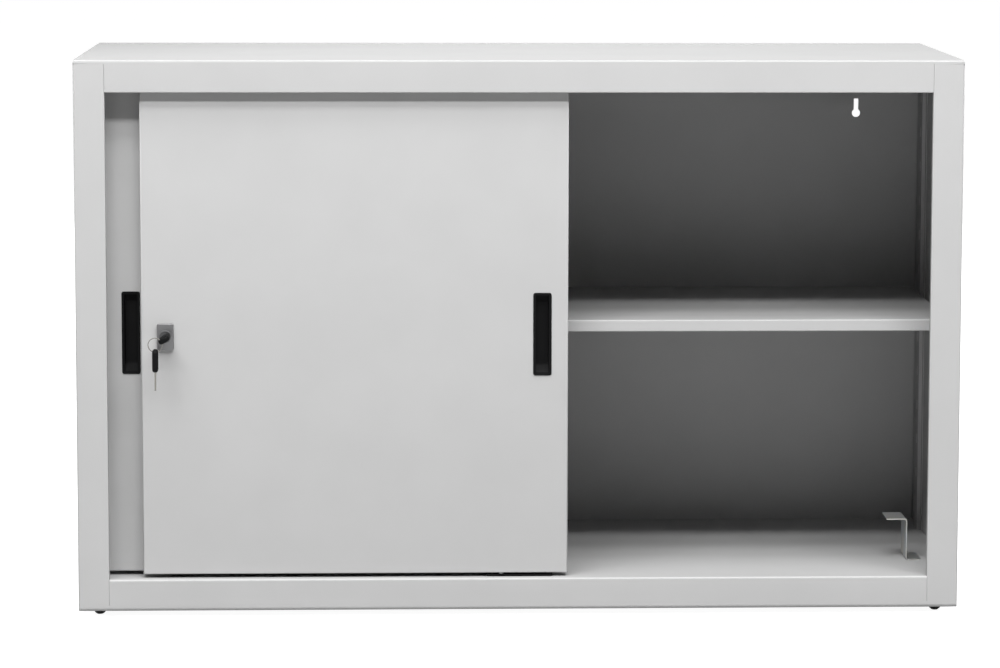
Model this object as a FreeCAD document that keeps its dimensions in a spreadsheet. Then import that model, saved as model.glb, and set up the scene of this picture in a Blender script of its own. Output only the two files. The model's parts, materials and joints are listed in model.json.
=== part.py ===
"""Sliding door cabinet: a folded sheet steel sideboard with two top-hung doors, one shelf, a cam lock and four feet.

Every piece is modelled from the middle of the carcass in X, its front plane in Y and its lower edge in Z.
place() then puts the row's origin on the ground, under the middle of the whole depth with the key in its lock.
"""

import FreeCAD, Part
import math
import os
import re
import Sketcher

SIZES = {
    # carcass
    "width": 1200,
    "height": 750,
    "depth": 450,
    "sheet": 1,
    "post_width": 40,
    "top_rail": 42,
    "bottom_rail": 40,
    "return_lip": 9,
    "top_band": 5,
    "base_band": 8,
    "rear_flange": 15,
    "top_bend": 4,
    "side_bend": 2.5,
    "post_bend": 1.5,
    "rail_bend": 1.5,
    "base_bend": 5,
    "sill_bend": 2.5,
    "sill_depth": 76,
    "floor_drop": 6,
    "foot_flange": 48,
    "back_gap": 1.6,
    # keyholes in the back panel
    "keyhole_spacing": 1015,
    "keyhole_base": 641.5,
    "keyhole_radius": 6,
    "keyhole_slot": 6.5,
    "keyhole_rise": 27,
    # slotted uprights and their slots
    "upright_width": 30,
    "upright_flange": 9,
    "upright_proud": 6,
    "upright_front": 115,
    "upright_rear": 372,
    "slot_pitch": 50,
    "slot_count": 12,
    "slot_first": 118,
    "slot_tall": 14,
    "slot_wide": 5,
    # stiffening channel under the top
    "stiffener_half": 30,
    "stiffener_web": 18,
    "stiffener_deep": 16,
    # shelf and its clips
    "shelf_top": 390,
    "shelf_front": 63,
    "shelf_lip": 16,
    "shelf_return": 10,
    "shelf_gap": 0.5,
    "clip_sheet": 1.5,
    "clip_wide": 18,
    "clip_tab": 14,
    "clip_tall": 34,
    "clip_hook": 3,
    "clip_slot": 5,
    # track, stops and lower guide
    "track_sheet": 1.5,
    "track_height": 31,
    "track_half": 9.5,
    "track_lip": 3,
    "track_flange": 26,
    "track_end": 2,
    "stop_long": 15,
    "stop_tall": 12,
    "seat_gap": 0.3,
    "guide_margin": 19.75,
    "guide_base": 3,
    "guide_fin_long": 24,
    "guide_fin_wide": 8,
    "guide_fin_tall": 18,
    "guide_slot": 9,
    "guide_slot_end": 20,
    # doors
    "door_side": 37,
    "door_overlap": 30,
    "door_thick": 18,
    "door_inset": 12,
    "door_gap": 7,
    "door_raise": 10,
    "door_clearance": 2,
    "door_lip": 12,
    "door_bend": 2,
    "front_door_rest": 87.5,
    "brace_end": 12,
    # hangers and rollers
    "hanger_edge": 60,
    "hanger_wide": 30,
    "hanger_sheet": 2,
    "hanger_setback": 7,
    "hanger_foot": 6,
    "hanger_top": 9,
    "axle_radius": 2,
    "axle_collar": 3.2,
    "axle_head": 4,
    "roller_radius": 10,
    "roller_wide": 5,
    "roller_side_gap": 1,
    "roller_edge": 0.8,
    "running_gap": 0.05,
    # recessed handles
    "handle_wide": 25,
    "handle_tall": 113,
    "handle_base": 321,
    "handle_edge": 22.5,
    "handle_rim": 2,
    "handle_proud": 1,
    "handle_deep": 13,
    "handle_wall": 1.6,
    "handle_corner": 3,
    "handle_gap": 0.2,
    "handle_scoop": 14,
    "barb_proud": 1.2,
    "barb_long": 5,
    "barb_tall": 10,
    "barb_inset": 22,
    # lock
    "lock_edge": 32.5,
    "lock_height": 375,
    "plate_wide": 22.5,
    "plate_tall": 36,
    "plate_thick": 4,
    "plate_corner": 2.5,
    "barrel_radius": 9,
    "barrel_end": 17.2,
    "cylinder_radius": 6.5,
    "cylinder_proud": 0.4,
    "cylinder_end": 19.2,
    "nut_radius": 12.5,
    "nut_thick": 4,
    "cam_thick": 2,
    "cam_wide": 10,
    "cam_reach": 30,
    "cam_screw_radius": 2,
    "cam_screw_head": 4.5,
    "cam_screw_thick": 1.6,
    "catch_edge": 4,
    "catch_thick": 2,
    "catch_wide": 16,
    "catch_low": 21,
    "catch_high": 29,
    "catch_reach": 5.5,
    # keys
    "key_angle": 30,
    "key_reach": 26,
    "key_head_long": 29,
    "key_head_wide": 20,
    "key_head_thick": 6.5,
    "key_head_corner": 5,
    "key_head_edge": 1.2,
    "key_hole_side": 4,
    "key_hole_end": 4.5,
    "key_hole_radius": 2.3,
    "blade_wide": 8,
    "blade_thick": 2,
    "blade_long": 25,
    "blade_root": 6,
    "keyway_gap": 0.15,
    "ring_radius": 9.5,
    "ring_wire": 0.9,
    "spare_head_long": 31,
    "spare_gap": 0.1,
    # bracket on the floor
    "bracket_side": 53,
    "bracket_front": 150,
    "bracket_deep": 36,
    "bracket_tall": 70,
    "bracket_arm": 27,
    "bracket_toe": 21,
    "bracket_sheet": 1.5,
    "bracket_bend": 4,
    # feet
    "foot_edge": 27,
    "foot_height": 8,
    "foot_radius": 8,
    "foot_tip": 4.5,
    "foot_gap": 0.3,
    "stud_radius": 4,
    "stud_up": 24,
    "stud_down": 4,
    "foot_nut_radius": 7.5,
    "foot_nut_tall": 6.5,
}

doc = FreeCAD.newDocument("sliding_door_cabinet")
sheet = doc.addObject("Spreadsheet::Sheet", "Dims")
for row, (alias, value) in enumerate(SIZES.items(), start=1):
    sheet.set(f"A{row}", str(value))
    sheet.setAlias(f"A{row}", alias)
doc.recompute()


def size(alias):
    """One driving dimension, as a number."""
    return float(sheet.get(alias))


def bound(text):
    """The expression with each size name pointing at its cell."""
    return re.sub(r"[a-z_]+", lambda word: f"Dims.{word[0]}" if word[0] in SIZES else word[0], str(text))


# sizes and places that several pieces share
DOOR_WIDTH = "((width + door_overlap) / 2 - door_side)"
TRAVEL = f"(width - door_side - front_door_rest - {DOOR_WIDTH})"
LEDGE = "(height - sheet - track_height + track_sheet)"
AXLE = f"({LEDGE} + seat_gap + roller_radius)"
TRACK_MID = "(door_inset + door_thick + door_gap / 2)"
DOOR_TOP = "(height - sheet - track_height - door_clearance)"
DOOR_BASE = "(bottom_rail + door_raise)"
FLOOR = "(bottom_rail - floor_drop)"
FRONT_DOOR = {"left": "(front_door_rest - width / 2)", "face": "door_inset", "tail": 1}
REAR_DOOR = {"left": "(door_side - width / 2)", "face": "(door_inset + door_thick + door_gap)", "tail": -1}
LOCK_X = "(front_door_rest - width / 2 + lock_edge)"
HANDLE_FRONT = f"({FRONT_DOOR['left']} + {DOOR_WIDTH} - handle_edge - handle_wide)"
HANDLE_REAR = f"({REAR_DOOR['left']} + handle_edge)"
RING_X = f"({LOCK_X} - (key_hole_side + ring_radius) * cos(key_angle * 1 deg))"
RING_Z = "(lock_height - (key_hole_side + ring_radius) * sin(key_angle * 1 deg))"
RING_Y = "(key_hole_end - key_reach)"

pieces = []


def place(item, x="0", y="0", z="0", turn=None):
    """Put a piece in the cabinet, and the cabinet on its feet under the origin."""
    if turn:
        item.Placement = FreeCAD.Placement(FreeCAD.Vector(), turn)
    item.setExpression("Placement.Base.x", bound(x))
    item.setExpression("Placement.Base.y", bound(f"{y} + (key_reach - depth) / 2"))
    item.setExpression("Placement.Base.z", bound(f"{z} + foot_height"))


def new_body(name, x="0", y="0", z="0", turn=None):
    body = doc.addObject("PartDesign::Body", name)
    body.Label = name
    body.AllowCompound = True
    place(body, x, y, z, turn)
    pieces.append(body)
    return body


def origin_item(body, role):
    return next(item for item in body.Origin.OriginFeatures if item.Role == role)


def new_sketch(body, name, plane, offset):
    """A sketch on one of the body's own planes, moved along that plane's axis to offset."""
    sketch = body.newObject("Sketcher::SketchObject", name)
    sketch.AttachmentSupport = [(origin_item(body, f"{plane}_Plane"), "")]
    sketch.MapMode = "FlatFace"
    sign = "-1" if plane == "XZ" else "1"
    sketch.setExpression("AttachmentOffset.Base.z", bound(f"{sign} * ({offset})"))
    return sketch


def pin(sketch, geometry, point, x, y):
    """Hold one point of a sketch at two expressions."""
    for kind, axis, text in (("DistanceX", -2, x), ("DistanceY", -1, y)):
        if text == "0":
            sketch.addConstraint(Sketcher.Constraint("PointOnObject", geometry, point, axis))
        else:
            row = sketch.addConstraint(Sketcher.Constraint(kind, -1, 1, geometry, point, 1.0))
            sketch.setExpression(f"Constraints[{row}]", bound(text))


def add_outline(sketch, corners):
    """A closed run of straight lines through corners given as pairs of expressions."""
    first = sketch.GeometryCount
    count = len(corners)
    around = [FreeCAD.Vector(math.cos(2 * math.pi * i / count), math.sin(2 * math.pi * i / count))
              for i in range(count)]
    for i in range(count):
        sketch.addGeometry(Part.LineSegment(around[i], around[(i + 1) % count]))
    for i, (x, y) in enumerate(corners):
        sketch.addConstraint(Sketcher.Constraint("Coincident", first + i, 2, first + (i + 1) % count, 1))
        pin(sketch, first + i, 1, x, y)


def add_circle(sketch, x, y, radius):
    circle = sketch.addGeometry(Part.Circle(FreeCAD.Vector(1, 1), FreeCAD.Vector(0, 0, 1), 1.0))
    row = sketch.addConstraint(Sketcher.Constraint("Radius", circle, 1.0))
    sketch.setExpression(f"Constraints[{row}]", bound(radius))
    pin(sketch, circle, 3, x, y)


def rectangle(x0, y0, x1, y1):
    return [(x0, y0), (x1, y0), (x1, y1), (x0, y1)]


def hexagon(x, y, radius):
    return [(f"{x} + ({radius}) * cos({60 * i} deg)", f"{y} + ({radius}) * sin({60 * i} deg)") for i in range(6)]


def hat(middle, half, web, base, crest, t):
    """A hat channel: two flanges on base, the web's outside at crest, all t thick; a negative t opens upwards."""
    inner = f"{web} - abs({t})"
    return [
        (f"{middle} - ({half})", base), (f"{middle} - ({inner})", base),
        (f"{middle} - ({inner})", f"{crest} - ({t})"), (f"{middle} + ({inner})", f"{crest} - ({t})"),
        (f"{middle} + ({inner})", base), (f"{middle} + ({half})", base),
        (f"{middle} + ({half})", f"{base} + ({t})"), (f"{middle} + ({web})", f"{base} + ({t})"),
        (f"{middle} + ({web})", crest), (f"{middle} - ({web})", crest),
        (f"{middle} - ({web})", f"{base} + ({t})"), (f"{middle} - ({half})", f"{base} + ({t})"),
    ]


def prism(body, name, plane, start, end, outlines=(), circles=(), cut=False):
    """Pad or pocket outlines from start to end along the plane's own axis."""
    sketch = new_sketch(body, f"{name}_sketch", plane, start)
    for corners in outlines:
        add_outline(sketch, corners)
    for circle in circles:
        add_circle(sketch, *circle)
    feature = body.newObject("PartDesign::Pocket" if cut else "PartDesign::Pad", name)
    feature.Profile = sketch
    feature.Reversed = (plane == "XZ") != cut
    feature.setExpression("Length", bound(f"({end}) - ({start})"))
    if cut:
        before = cut_volume(body, feature)
        doc.recompute()
        if feature.Shape.Volume > before - 1e-6:
            raise SystemExit(f"{body.Label}: {name} cuts nothing")
    return feature


def cut_volume(body, feature):
    """The volume before a cut."""
    doc.recompute()
    return feature.BaseFeature.Shape.Volume


def spin(body, name, corners, plane="XY"):
    """Turn a half outline, drawn as (radius, along), about the sketch's own upright axis."""
    sketch = new_sketch(body, f"{name}_sketch", plane, "0")
    add_outline(sketch, corners)
    feature = body.newObject("PartDesign::Revolution", name)
    feature.Profile = sketch
    feature.ReferenceAxis = (sketch, ["V_Axis"])
    feature.Angle = 360
    return feature


def repeat(body, feature, steps):
    """Copy a feature in rows; each step is (axis role, distance to the last copy, how many)."""
    patterns = []
    for axis, length, count in steps:
        row = body.newObject("PartDesign::LinearPattern", f"{feature.Name}_{axis[0].lower()}_row")
        row.Direction = (origin_item(body, axis), [""])
        row.setExpression("Length", bound(length))
        row.setExpression("Occurrences", bound(count))
        patterns.append(row)
    if len(patterns) == 1:
        patterns[0].Originals = [feature]
        body.Tip = patterns[0]
        return
    grid = body.newObject("PartDesign::MultiTransform", f"{feature.Name}_grid")
    grid.Originals = [feature]
    grid.Transformations = patterns
    body.Tip = grid


def soften(body, name, radius, *lines):
    """Round the edges that lie along each line, given as a dictionary of the coordinates they keep."""
    doc.recompute()
    base = body.Tip
    chosen = []
    for number, edge in enumerate(base.Shape.Edges, start=1):
        points = [vertex.Point for vertex in edge.Vertexes]
        if any(all(abs(getattr(point, axis) - at) < 0.01 for point in points for axis, at in line.items())
               for line in lines):
            chosen.append(f"Edge{number}")
    if not chosen:
        raise SystemExit(f"{body.Label}: {name} finds no edge")
    feature = body.newObject("PartDesign::Fillet", name)
    feature.Base = (base, chosen)
    feature.setExpression("Radius", bound(radius))
    return feature


def round_waste(y_edge, z_edge, radius, down):
    """What a square corner loses when it is rounded to a radius, in Y and Z; down is 1 above, -1 below."""
    steps = [90 * i / 6 for i in range(7)]
    arc = [(f"{radius} * (1 - cos({a} deg))", f"{z_edge} - {down} * {radius} * (1 - sin({a} deg))") for a in steps]
    return [(f"{y_edge} - 1", f"{z_edge} - {down} * {radius}")] + arc + [
        (f"{radius}", f"{z_edge} + {down}"), (f"{y_edge} - 1", f"{z_edge} + {down}")]


# carcass


def side_panel(name, side):
    """A side wall with its front post and rear flange; side is -1 on the left and 1 on the right."""
    def across(text):
        return f"{side} * (width / 2 - ({text}))"

    body = new_body(name)
    prism(body, "wall", "XY", "0", "height - sheet", [[
        (across("0"), "0"), (across("post_width"), "0"), (across("post_width"), "return_lip"),
        (across("post_width - sheet"), "return_lip"), (across("post_width - sheet"), "sheet"),
        (across("sheet"), "sheet"), (across("sheet"), "depth - sheet"), (across("rear_flange"), "depth - sheet"),
        (across("rear_flange"), "depth"), (across("0"), "depth")]])
    half = size("width") / 2
    soften(body, "outer_bends", "side_bend", {"x": side * half, "y": 0}, {"x": side * half, "y": size("depth")})
    soften(body, "inner_bends", "side_bend - sheet", {"x": side * (half - size("sheet")), "y": size("sheet")},
           {"x": side * (half - size("sheet")), "y": size("depth") - size("sheet")})
    post = half - size("post_width")
    soften(body, "post_bend", "post_bend", {"x": side * post, "y": 0})
    soften(body, "post_bend_inside", "post_bend - sheet", {"x": side * (post + size("sheet")), "y": size("sheet")})
    inner = sorted((across("post_width + 1"), across("sheet")), key=lambda text: side * text.count("post"))
    for label, low, high in (("post_foot", "-1", "base_band"), ("post_head", "height - top_band", "height")):
        prism(body, label, "XY", low, high, [rectangle(inner[0], "-1", inner[1], "return_lip + 1")], cut=True)
    for label, low, high in (("flange_foot", "-1", FLOOR), ("flange_head", "height - rear_flange", "height")):
        prism(body, label, "XY", low, high, [rectangle(inner[0], "depth - sheet", inner[1], "depth + 1")], cut=True)
    ends = ("-width / 2 - 1", "-width / 2 + sheet + 1") if side < 0 else ("width / 2 - sheet - 1", "width / 2 + 1")
    prism(body, "front_corners", "YZ", ends[0], ends[1], [
        round_waste("0", "(height - sheet)", "(top_bend - sheet)", 1),
        round_waste("0", "0", "base_bend", -1)], cut=True)


def top_panel():
    """The top with its front rail, rounded front edge and rear flange; the posts fit into its notched ends."""
    body = new_body("top_panel")
    prism(body, "folded_top", "YZ", "-width / 2", "width / 2", [[
        ("return_lip", "height - top_rail"), ("0", "height - top_rail"), ("0", "height"), ("depth", "height"),
        ("depth", "height - rear_flange"), ("depth - sheet", "height - rear_flange"),
        ("depth - sheet", "height - sheet"), ("sheet", "height - sheet"),
        ("sheet", "height - top_rail + sheet"), ("return_lip", "height - top_rail + sheet")]])
    high, rail, t = size("height"), size("height") - size("top_rail"), size("sheet")
    soften(body, "front_bend", "top_bend", {"y": 0, "z": high}, {"y": size("depth"), "z": high})
    soften(body, "front_bend_inside", "top_bend - sheet", {"y": t, "z": high - t},
           {"y": size("depth") - t, "z": high - t})
    soften(body, "rail_bend", "rail_bend", {"y": 0, "z": rail})
    soften(body, "rail_bend_inside", "rail_bend - sheet", {"y": t, "z": rail + t})
    for label, low, high in (("left", "-width / 2 - 1", "post_width - width / 2"),
                             ("right", "width / 2 - post_width", "width / 2 + 1")):
        prism(body, f"{label}_notch", "YZ", low, high, [
            rectangle("-1", "height - top_rail - 1", "return_lip + 1", "height - top_band")], cut=True)
    for label, low, high in (("left", "-width / 2 - 1", "sheet - width / 2"),
                             ("right", "width / 2 - sheet", "width / 2 + 1")):
        prism(body, f"{label}_end", "YZ", low, high, [
            rectangle("top_bend - sheet", "height - top_rail - 1", "depth + 1", "height - sheet")], cut=True)


def bottom_panel():
    """The base: front rail, sill, lower floor and flanges for the feet."""
    body = new_body("bottom_panel")
    prism(body, "folded_base", "YZ", "sheet - width / 2", "width / 2 - sheet", [[
        ("foot_flange", "0"), ("0", "0"), ("0", "bottom_rail"), ("sill_depth", "bottom_rail"),
        ("sill_depth", FLOOR), ("depth", FLOOR), ("depth", "0"), ("depth - foot_flange", "0"),
        ("depth - foot_flange", "sheet"), ("depth - sheet", "sheet"), ("depth - sheet", f"{FLOOR} - sheet"),
        ("sill_depth - sheet", f"{FLOOR} - sheet"), ("sill_depth - sheet", "bottom_rail - sheet"),
        ("sheet", "bottom_rail - sheet"), ("sheet", "sheet"), ("foot_flange", "sheet")]])
    t, rail = size("sheet"), size("bottom_rail")
    soften(body, "toe_bend", "base_bend", {"y": 0, "z": 0})
    soften(body, "toe_bend_inside", "base_bend - sheet", {"y": t, "z": t})
    soften(body, "sill_fold", "sill_bend", {"y": 0, "z": rail}, {"y": size("sill_depth"), "z": rail})
    soften(body, "sill_fold_inside", "sill_bend - sheet", {"y": t, "z": rail - t})
    for label, low, high in (("left", "-width / 2", "post_width - width / 2"),
                             ("right", "width / 2 - post_width", "width / 2")):
        prism(body, f"{label}_notch", "YZ", low, high, [
            rectangle("-1", "base_band", "return_lip + seat_gap", "bottom_rail + 1")], cut=True)
    hole = [(f"{x} * (width / 2 - foot_edge)", y, "stud_radius + running_gap")
            for x in (-1, 1) for y in ("foot_edge", "depth - foot_edge")]
    prism(body, "foot_holes", "XY", "-1", "sheet + 1", circles=hole, cut=True)


def back_panel():
    """The back, against the inside of the rear flanges, with two keyholes for hanging it on a wall."""
    body = new_body("back_panel")
    prism(body, "plate", "XZ", "depth - sheet * 2", "depth - sheet", [
        rectangle("sheet + back_gap - width / 2", FLOOR, "width / 2 - sheet - back_gap", "height - top_bend")])
    centres = [f"{x} * keyhole_spacing / 2" for x in (-1, 1)]
    prism(body, "keyhole_rounds", "XZ", "depth - sheet * 3", "depth",
          circles=[(x, "keyhole_base + keyhole_radius", "keyhole_radius") for x in centres], cut=True)
    prism(body, "keyhole_slots", "XZ", "depth - sheet * 3", "depth", [
        rectangle(f"{x} - keyhole_slot / 2", "keyhole_base + keyhole_radius",
                  f"{x} + keyhole_slot / 2", "keyhole_base + keyhole_rise") for x in centres], cut=True)


def top_stiffener():
    """A hat channel spot-welded under the top along its middle."""
    body = new_body("top_stiffener")
    prism(body, "channel", "YZ", "upright_proud + sheet * 2 - width / 2", "width / 2 - upright_proud - sheet * 2", [
        hat("depth / 2", "stiffener_half", "stiffener_web", "(height - sheet)",
            "(height - sheet - stiffener_deep)", "-sheet")])


def upright(name, side, middle):
    """A slotted hat channel on a side wall."""
    body = new_body(name)
    wall = f"({side} * (width / 2 - sheet))"
    corners = hat(middle, "upright_width / 2 + upright_flange", "upright_width / 2", wall,
                  f"({wall} - {side} * upright_proud)", f"{-side} * sheet")
    prism(body, "channel", "XY", FLOOR, "height - sheet", [[(across, along) for along, across in corners]])
    ends = sorted((f"{wall} - {side} * (upright_proud + 1)", f"{wall} - {side} * (sheet + 1)"),
                  key=lambda text: side * text.count("proud"), reverse=True)
    slot = prism(body, "clip_slot", "YZ", ends[0], ends[1], [
        rectangle(f"{middle} - slot_wide / 2", "slot_first", f"{middle} + slot_wide / 2",
                  "slot_first + slot_tall")], cut=True)
    repeat(body, slot, [("Z_Axis", "slot_pitch * (slot_count - 1)", "slot_count")])


def shelf():
    """A folded tray with a deep lip all round, returned inwards at the bottom."""
    body = new_body("shelf")
    half = "(width / 2 - sheet - upright_proud - shelf_gap)"
    rear = "(depth - sheet * 2 - shelf_gap)"

    def ring(inset):
        return rectangle(f"{inset} - {half}", f"shelf_front + {inset}", f"{half} - {inset}", f"{rear} - {inset}")

    prism(body, "tray", "XY", "shelf_top - shelf_lip", "shelf_top", [ring("0")])
    soften(body, "front_folds", "sheet * 1.5", {"y": size("shelf_front"), "z": size("shelf_top")},
           {"y": size("shelf_front"), "z": size("shelf_top") - size("shelf_lip")})
    prism(body, "hollow", "XY", "shelf_top - shelf_lip + sheet", "shelf_top - sheet", [ring("sheet")], cut=True)
    prism(body, "mouth", "XY", "shelf_top - shelf_lip - 1", "shelf_top - shelf_lip + sheet * 1.5",
          [ring("shelf_return")], cut=True)


def shelf_clips():
    """Four bent clips hooked into the uprights, each with a tab under the shelf."""
    body = new_body("shelf_clips")
    face = "(width / 2 - sheet - upright_proud)"
    top = "(shelf_top - shelf_lip)"
    for side, label in ((-1, "left"), (1, "right")):
        leg = prism(body, f"{label}_clip", "XZ", "upright_front - clip_wide / 2", "upright_front + clip_wide / 2", [[
            (f"{side} * {face}", f"{top} - clip_tall"), (f"{side} * {face}", top),
            (f"{side} * ({face} - clip_tab)", top), (f"{side} * ({face} - clip_tab)", f"{top} - clip_sheet"),
            (f"{side} * ({face} - clip_sheet)", f"{top} - clip_sheet"),
            (f"{side} * ({face} - clip_sheet)", f"{top} - clip_tall")]])
        hook = prism(body, f"{label}_hook", "XZ", "upright_front - slot_wide / 2 + seat_gap",
                     "upright_front + slot_wide / 2 - seat_gap", [
                         rectangle(f"{side} * {face}", "slot_first + slot_pitch * clip_slot + seat_gap",
                                   f"{side} * ({face} + clip_hook)", top)])
        row = body.newObject("PartDesign::LinearPattern", f"{label}_pair")
        row.Originals = [leg, hook]
        row.Direction = (origin_item(body, "Y_Axis"), [""])
        row.setExpression("Length", bound("upright_rear - upright_front"))
        row.Occurrences = 2
        body.Tip = row


def floor_bracket():
    """A bent strip on the floor near the right side: a toe, an upright leg and a short arm at its top."""
    body = new_body("floor_bracket")
    leg = "(width / 2 - bracket_side)"
    top = f"({FLOOR} + bracket_tall)"
    prism(body, "strip", "XZ", "bracket_front", "bracket_front + bracket_deep", [[
        (f"{leg} - bracket_arm", top), (f"{leg} + bracket_sheet", top),
        (f"{leg} + bracket_sheet", f"{FLOOR} + bracket_sheet"),
        (f"{leg} + bracket_toe", f"{FLOOR} + bracket_sheet"), (f"{leg} + bracket_toe", FLOOR), (leg, FLOOR),
        (leg, f"{top} - bracket_sheet"), (f"{leg} - bracket_arm", f"{top} - bracket_sheet")]])
    x = size("width") / 2 - size("bracket_side")
    floor = size("bottom_rail") - size("floor_drop")
    t, high = size("bracket_sheet"), floor + size("bracket_tall")
    soften(body, "outer_bends", "bracket_bend", {"x": x + t, "z": high}, {"x": x, "z": floor})
    soften(body, "inner_bends", "bracket_bend - bracket_sheet", {"x": x, "z": high - t}, {"x": x + t, "z": floor + t})


def top_track():
    """A double ledge hung under the top: the front door rolls before its web and the rear door behind it."""
    body = new_body("top_track")
    web = "track_sheet / 2"
    low = f"({LEDGE} - track_sheet)"
    roof = "(height - sheet)"
    prism(body, "section", "YZ", "track_end - (width / 2 - sheet)", "(width / 2 - sheet) - track_end", [[
        (f"{TRACK_MID} - track_half", low), (f"{TRACK_MID} + track_half", low),
        (f"{TRACK_MID} + track_half", f"{LEDGE} + track_lip"),
        (f"{TRACK_MID} + track_half - track_sheet", f"{LEDGE} + track_lip"),
        (f"{TRACK_MID} + track_half - track_sheet", LEDGE), (f"{TRACK_MID} + {web}", LEDGE),
        (f"{TRACK_MID} + {web}", f"{roof} - track_sheet"),
        (f"{TRACK_MID} + track_flange", f"{roof} - track_sheet"), (f"{TRACK_MID} + track_flange", roof),
        (f"{TRACK_MID} - {web}", roof), (f"{TRACK_MID} - {web}", LEDGE),
        (f"{TRACK_MID} - track_half + track_sheet", LEDGE),
        (f"{TRACK_MID} - track_half + track_sheet", f"{LEDGE} + track_lip"),
        (f"{TRACK_MID} - track_half", f"{LEDGE} + track_lip")]])


def track_stops():
    """Four rubber blocks on the ledges, where the outer rollers of each door come to rest."""
    body = new_body("track_stops")
    lip = "(track_half - track_sheet - seat_gap)"
    for label, door in (("front", FRONT_DOOR), ("rear", REAR_DOOR)):
        near = f"({TRACK_MID} - {lip})" if door["tail"] > 0 else f"({TRACK_MID} + track_sheet / 2 + seat_gap)"
        far = f"({TRACK_MID} - track_sheet / 2 - seat_gap)" if door["tail"] > 0 else f"({TRACK_MID} + {lip})"
        left = f"({door['left']} + hanger_edge - roller_radius - seat_gap)"
        right = f"({door['left']} + {DOOR_WIDTH} - hanger_edge + {TRAVEL} + roller_radius + seat_gap)"
        prism(body, f"{label}_stops", "XY", LEDGE, f"{LEDGE} + stop_tall", [
            rectangle(f"{left} - stop_long", near, left, far), rectangle(right, near, f"{right} + stop_long", far)])


def bottom_guide():
    """A moulded block on the sill with a fin for the slot in each door's lower flange, placed from the rear one."""
    body = new_body("bottom_guide", f"{REAR_DOOR['left']} + ({DOOR_WIDTH} + {TRAVEL}) / 2",
                    f"{FRONT_DOOR['face']} + door_thick / 2", "bottom_rail")
    apart = ("(front_door_rest - door_side)", "(door_thick + door_gap)")
    prism(body, "base", "XY", "0", "guide_base", [rectangle(
        "-guide_margin", "-guide_fin_wide", f"{apart[0]} + guide_margin", f"{apart[1]} + guide_fin_wide")])
    soften(body, "base_corners", "guide_base", *[
        {"x": x, "y": y}
        for x in (-size("guide_margin"), size("front_door_rest") - size("door_side") + size("guide_margin"))
        for y in (-size("guide_fin_wide"), size("door_thick") + size("door_gap") + size("guide_fin_wide"))])
    prism(body, "fins", "XY", "guide_base", "guide_fin_tall", [
        rectangle(f"{x} - guide_fin_long / 2", f"{y} - guide_fin_wide / 2",
                  f"{x} + guide_fin_long / 2", f"{y} + guide_fin_wide / 2")
        for x, y in ((apart[0], "0"), ("0", apart[1]))])


def foot_nuts():
    """Weld nuts over the foot holes, inside the base."""
    body = new_body("foot_nuts", "foot_edge - width / 2", "foot_edge", "sheet")
    nut = prism(body, "nut", "XY", "0", "foot_nut_tall", [hexagon("0", "0", "foot_nut_radius")],
                [("0", "0", "stud_radius + running_gap")])
    repeat(body, nut, [("X_Axis", "width - foot_edge * 2", "2"), ("Y_Axis", "depth - foot_edge * 2", "2")])


def foot(corner, x, y):
    """A levelling foot: a dark moulded glide on a threaded stud that turns in its weld nut."""
    body = new_body(f"foot_glide_{corner}", x, y)
    spin(body, "glide", [
        ("0", "-foot_height"), ("foot_tip", "-foot_height"), ("foot_radius - 1", "2.5 - foot_height"),
        ("foot_radius", "4.5 - foot_height"), ("foot_radius", "-foot_gap"), ("stud_radius", "-foot_gap"),
        ("stud_radius", "-stud_down"), ("0", "-stud_down")], plane="XZ")
    body = new_body(f"foot_stud_{corner}", x, y)
    spin(body, "stud", [
        ("0", "-stud_down"), ("stud_radius", "-stud_down"), ("stud_radius", "stud_up - 0.8"),
        ("stud_radius - 0.8", "stud_up"), ("0", "stud_up")], plane="XZ")


# doors


def door_panel(name, door, handle_left, lock=False):
    """A folded steel tray, open at the back, with its edges returned inwards."""
    body = new_body(name)
    left, face = door["left"], door["face"]
    right = f"({left} + {DOOR_WIDTH})"
    back = f"({face} + door_thick)"

    def frame(inset):
        return rectangle(f"{left} + {inset}", f"{DOOR_BASE} + {inset}", f"{right} - {inset}", f"{DOOR_TOP} - {inset}")

    prism(body, "tray", "XZ", face, back, [frame("0")])
    y = size("door_inset") + (0 if door["tail"] > 0 else size("door_thick") + size("door_gap"))
    soften(body, "face_bends", "door_bend", {"y": y})
    prism(body, "hollow", "XZ", f"{face} + sheet", f"{back} - sheet", [frame("sheet")], cut=True)
    prism(body, "open_back", "XZ", f"{back} - sheet * 1.5", f"{back} + 1", [frame("door_lip")], cut=True)
    edge = "(handle_rim - handle_gap)"
    prism(body, "handle_opening", "XZ", f"{face} - 1", f"{face} + sheet * 1.5", [
        rectangle(f"{handle_left} + {edge}", f"handle_base + {edge}", f"{handle_left} + handle_wide - {edge}",
                  f"handle_base + handle_tall - {edge}")], cut=True)
    if lock:
        prism(body, "lock_opening", "XZ", f"{face} - 1", f"{face} + sheet * 1.5",
              circles=[(LOCK_X, "lock_height", "barrel_radius + handle_gap")], cut=True)
    middle = f"({face} + door_thick / 2)"
    prism(body, "guide_slot", "XY", f"{DOOR_BASE} - 1", f"{DOOR_BASE} + sheet * 1.5", [
        rectangle(f"{left} + guide_slot_end", f"{middle} - guide_slot / 2", f"{right} - guide_slot_end",
                  f"{middle} + guide_slot / 2")], cut=True)


def door_brace(name, door):
    """A hat channel up the middle of the door, behind its skin."""
    body = new_body(name)
    prism(body, "channel", "XY", f"{DOOR_BASE} + brace_end", f"{DOOR_TOP} - brace_end", [
        hat(f"({door['left']} + {DOOR_WIDTH} / 2)", "stiffener_half", "stiffener_web", f"({door['face']} + sheet)",
            f"({door['face']} + door_thick - sheet * 2)", "sheet")])


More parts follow.
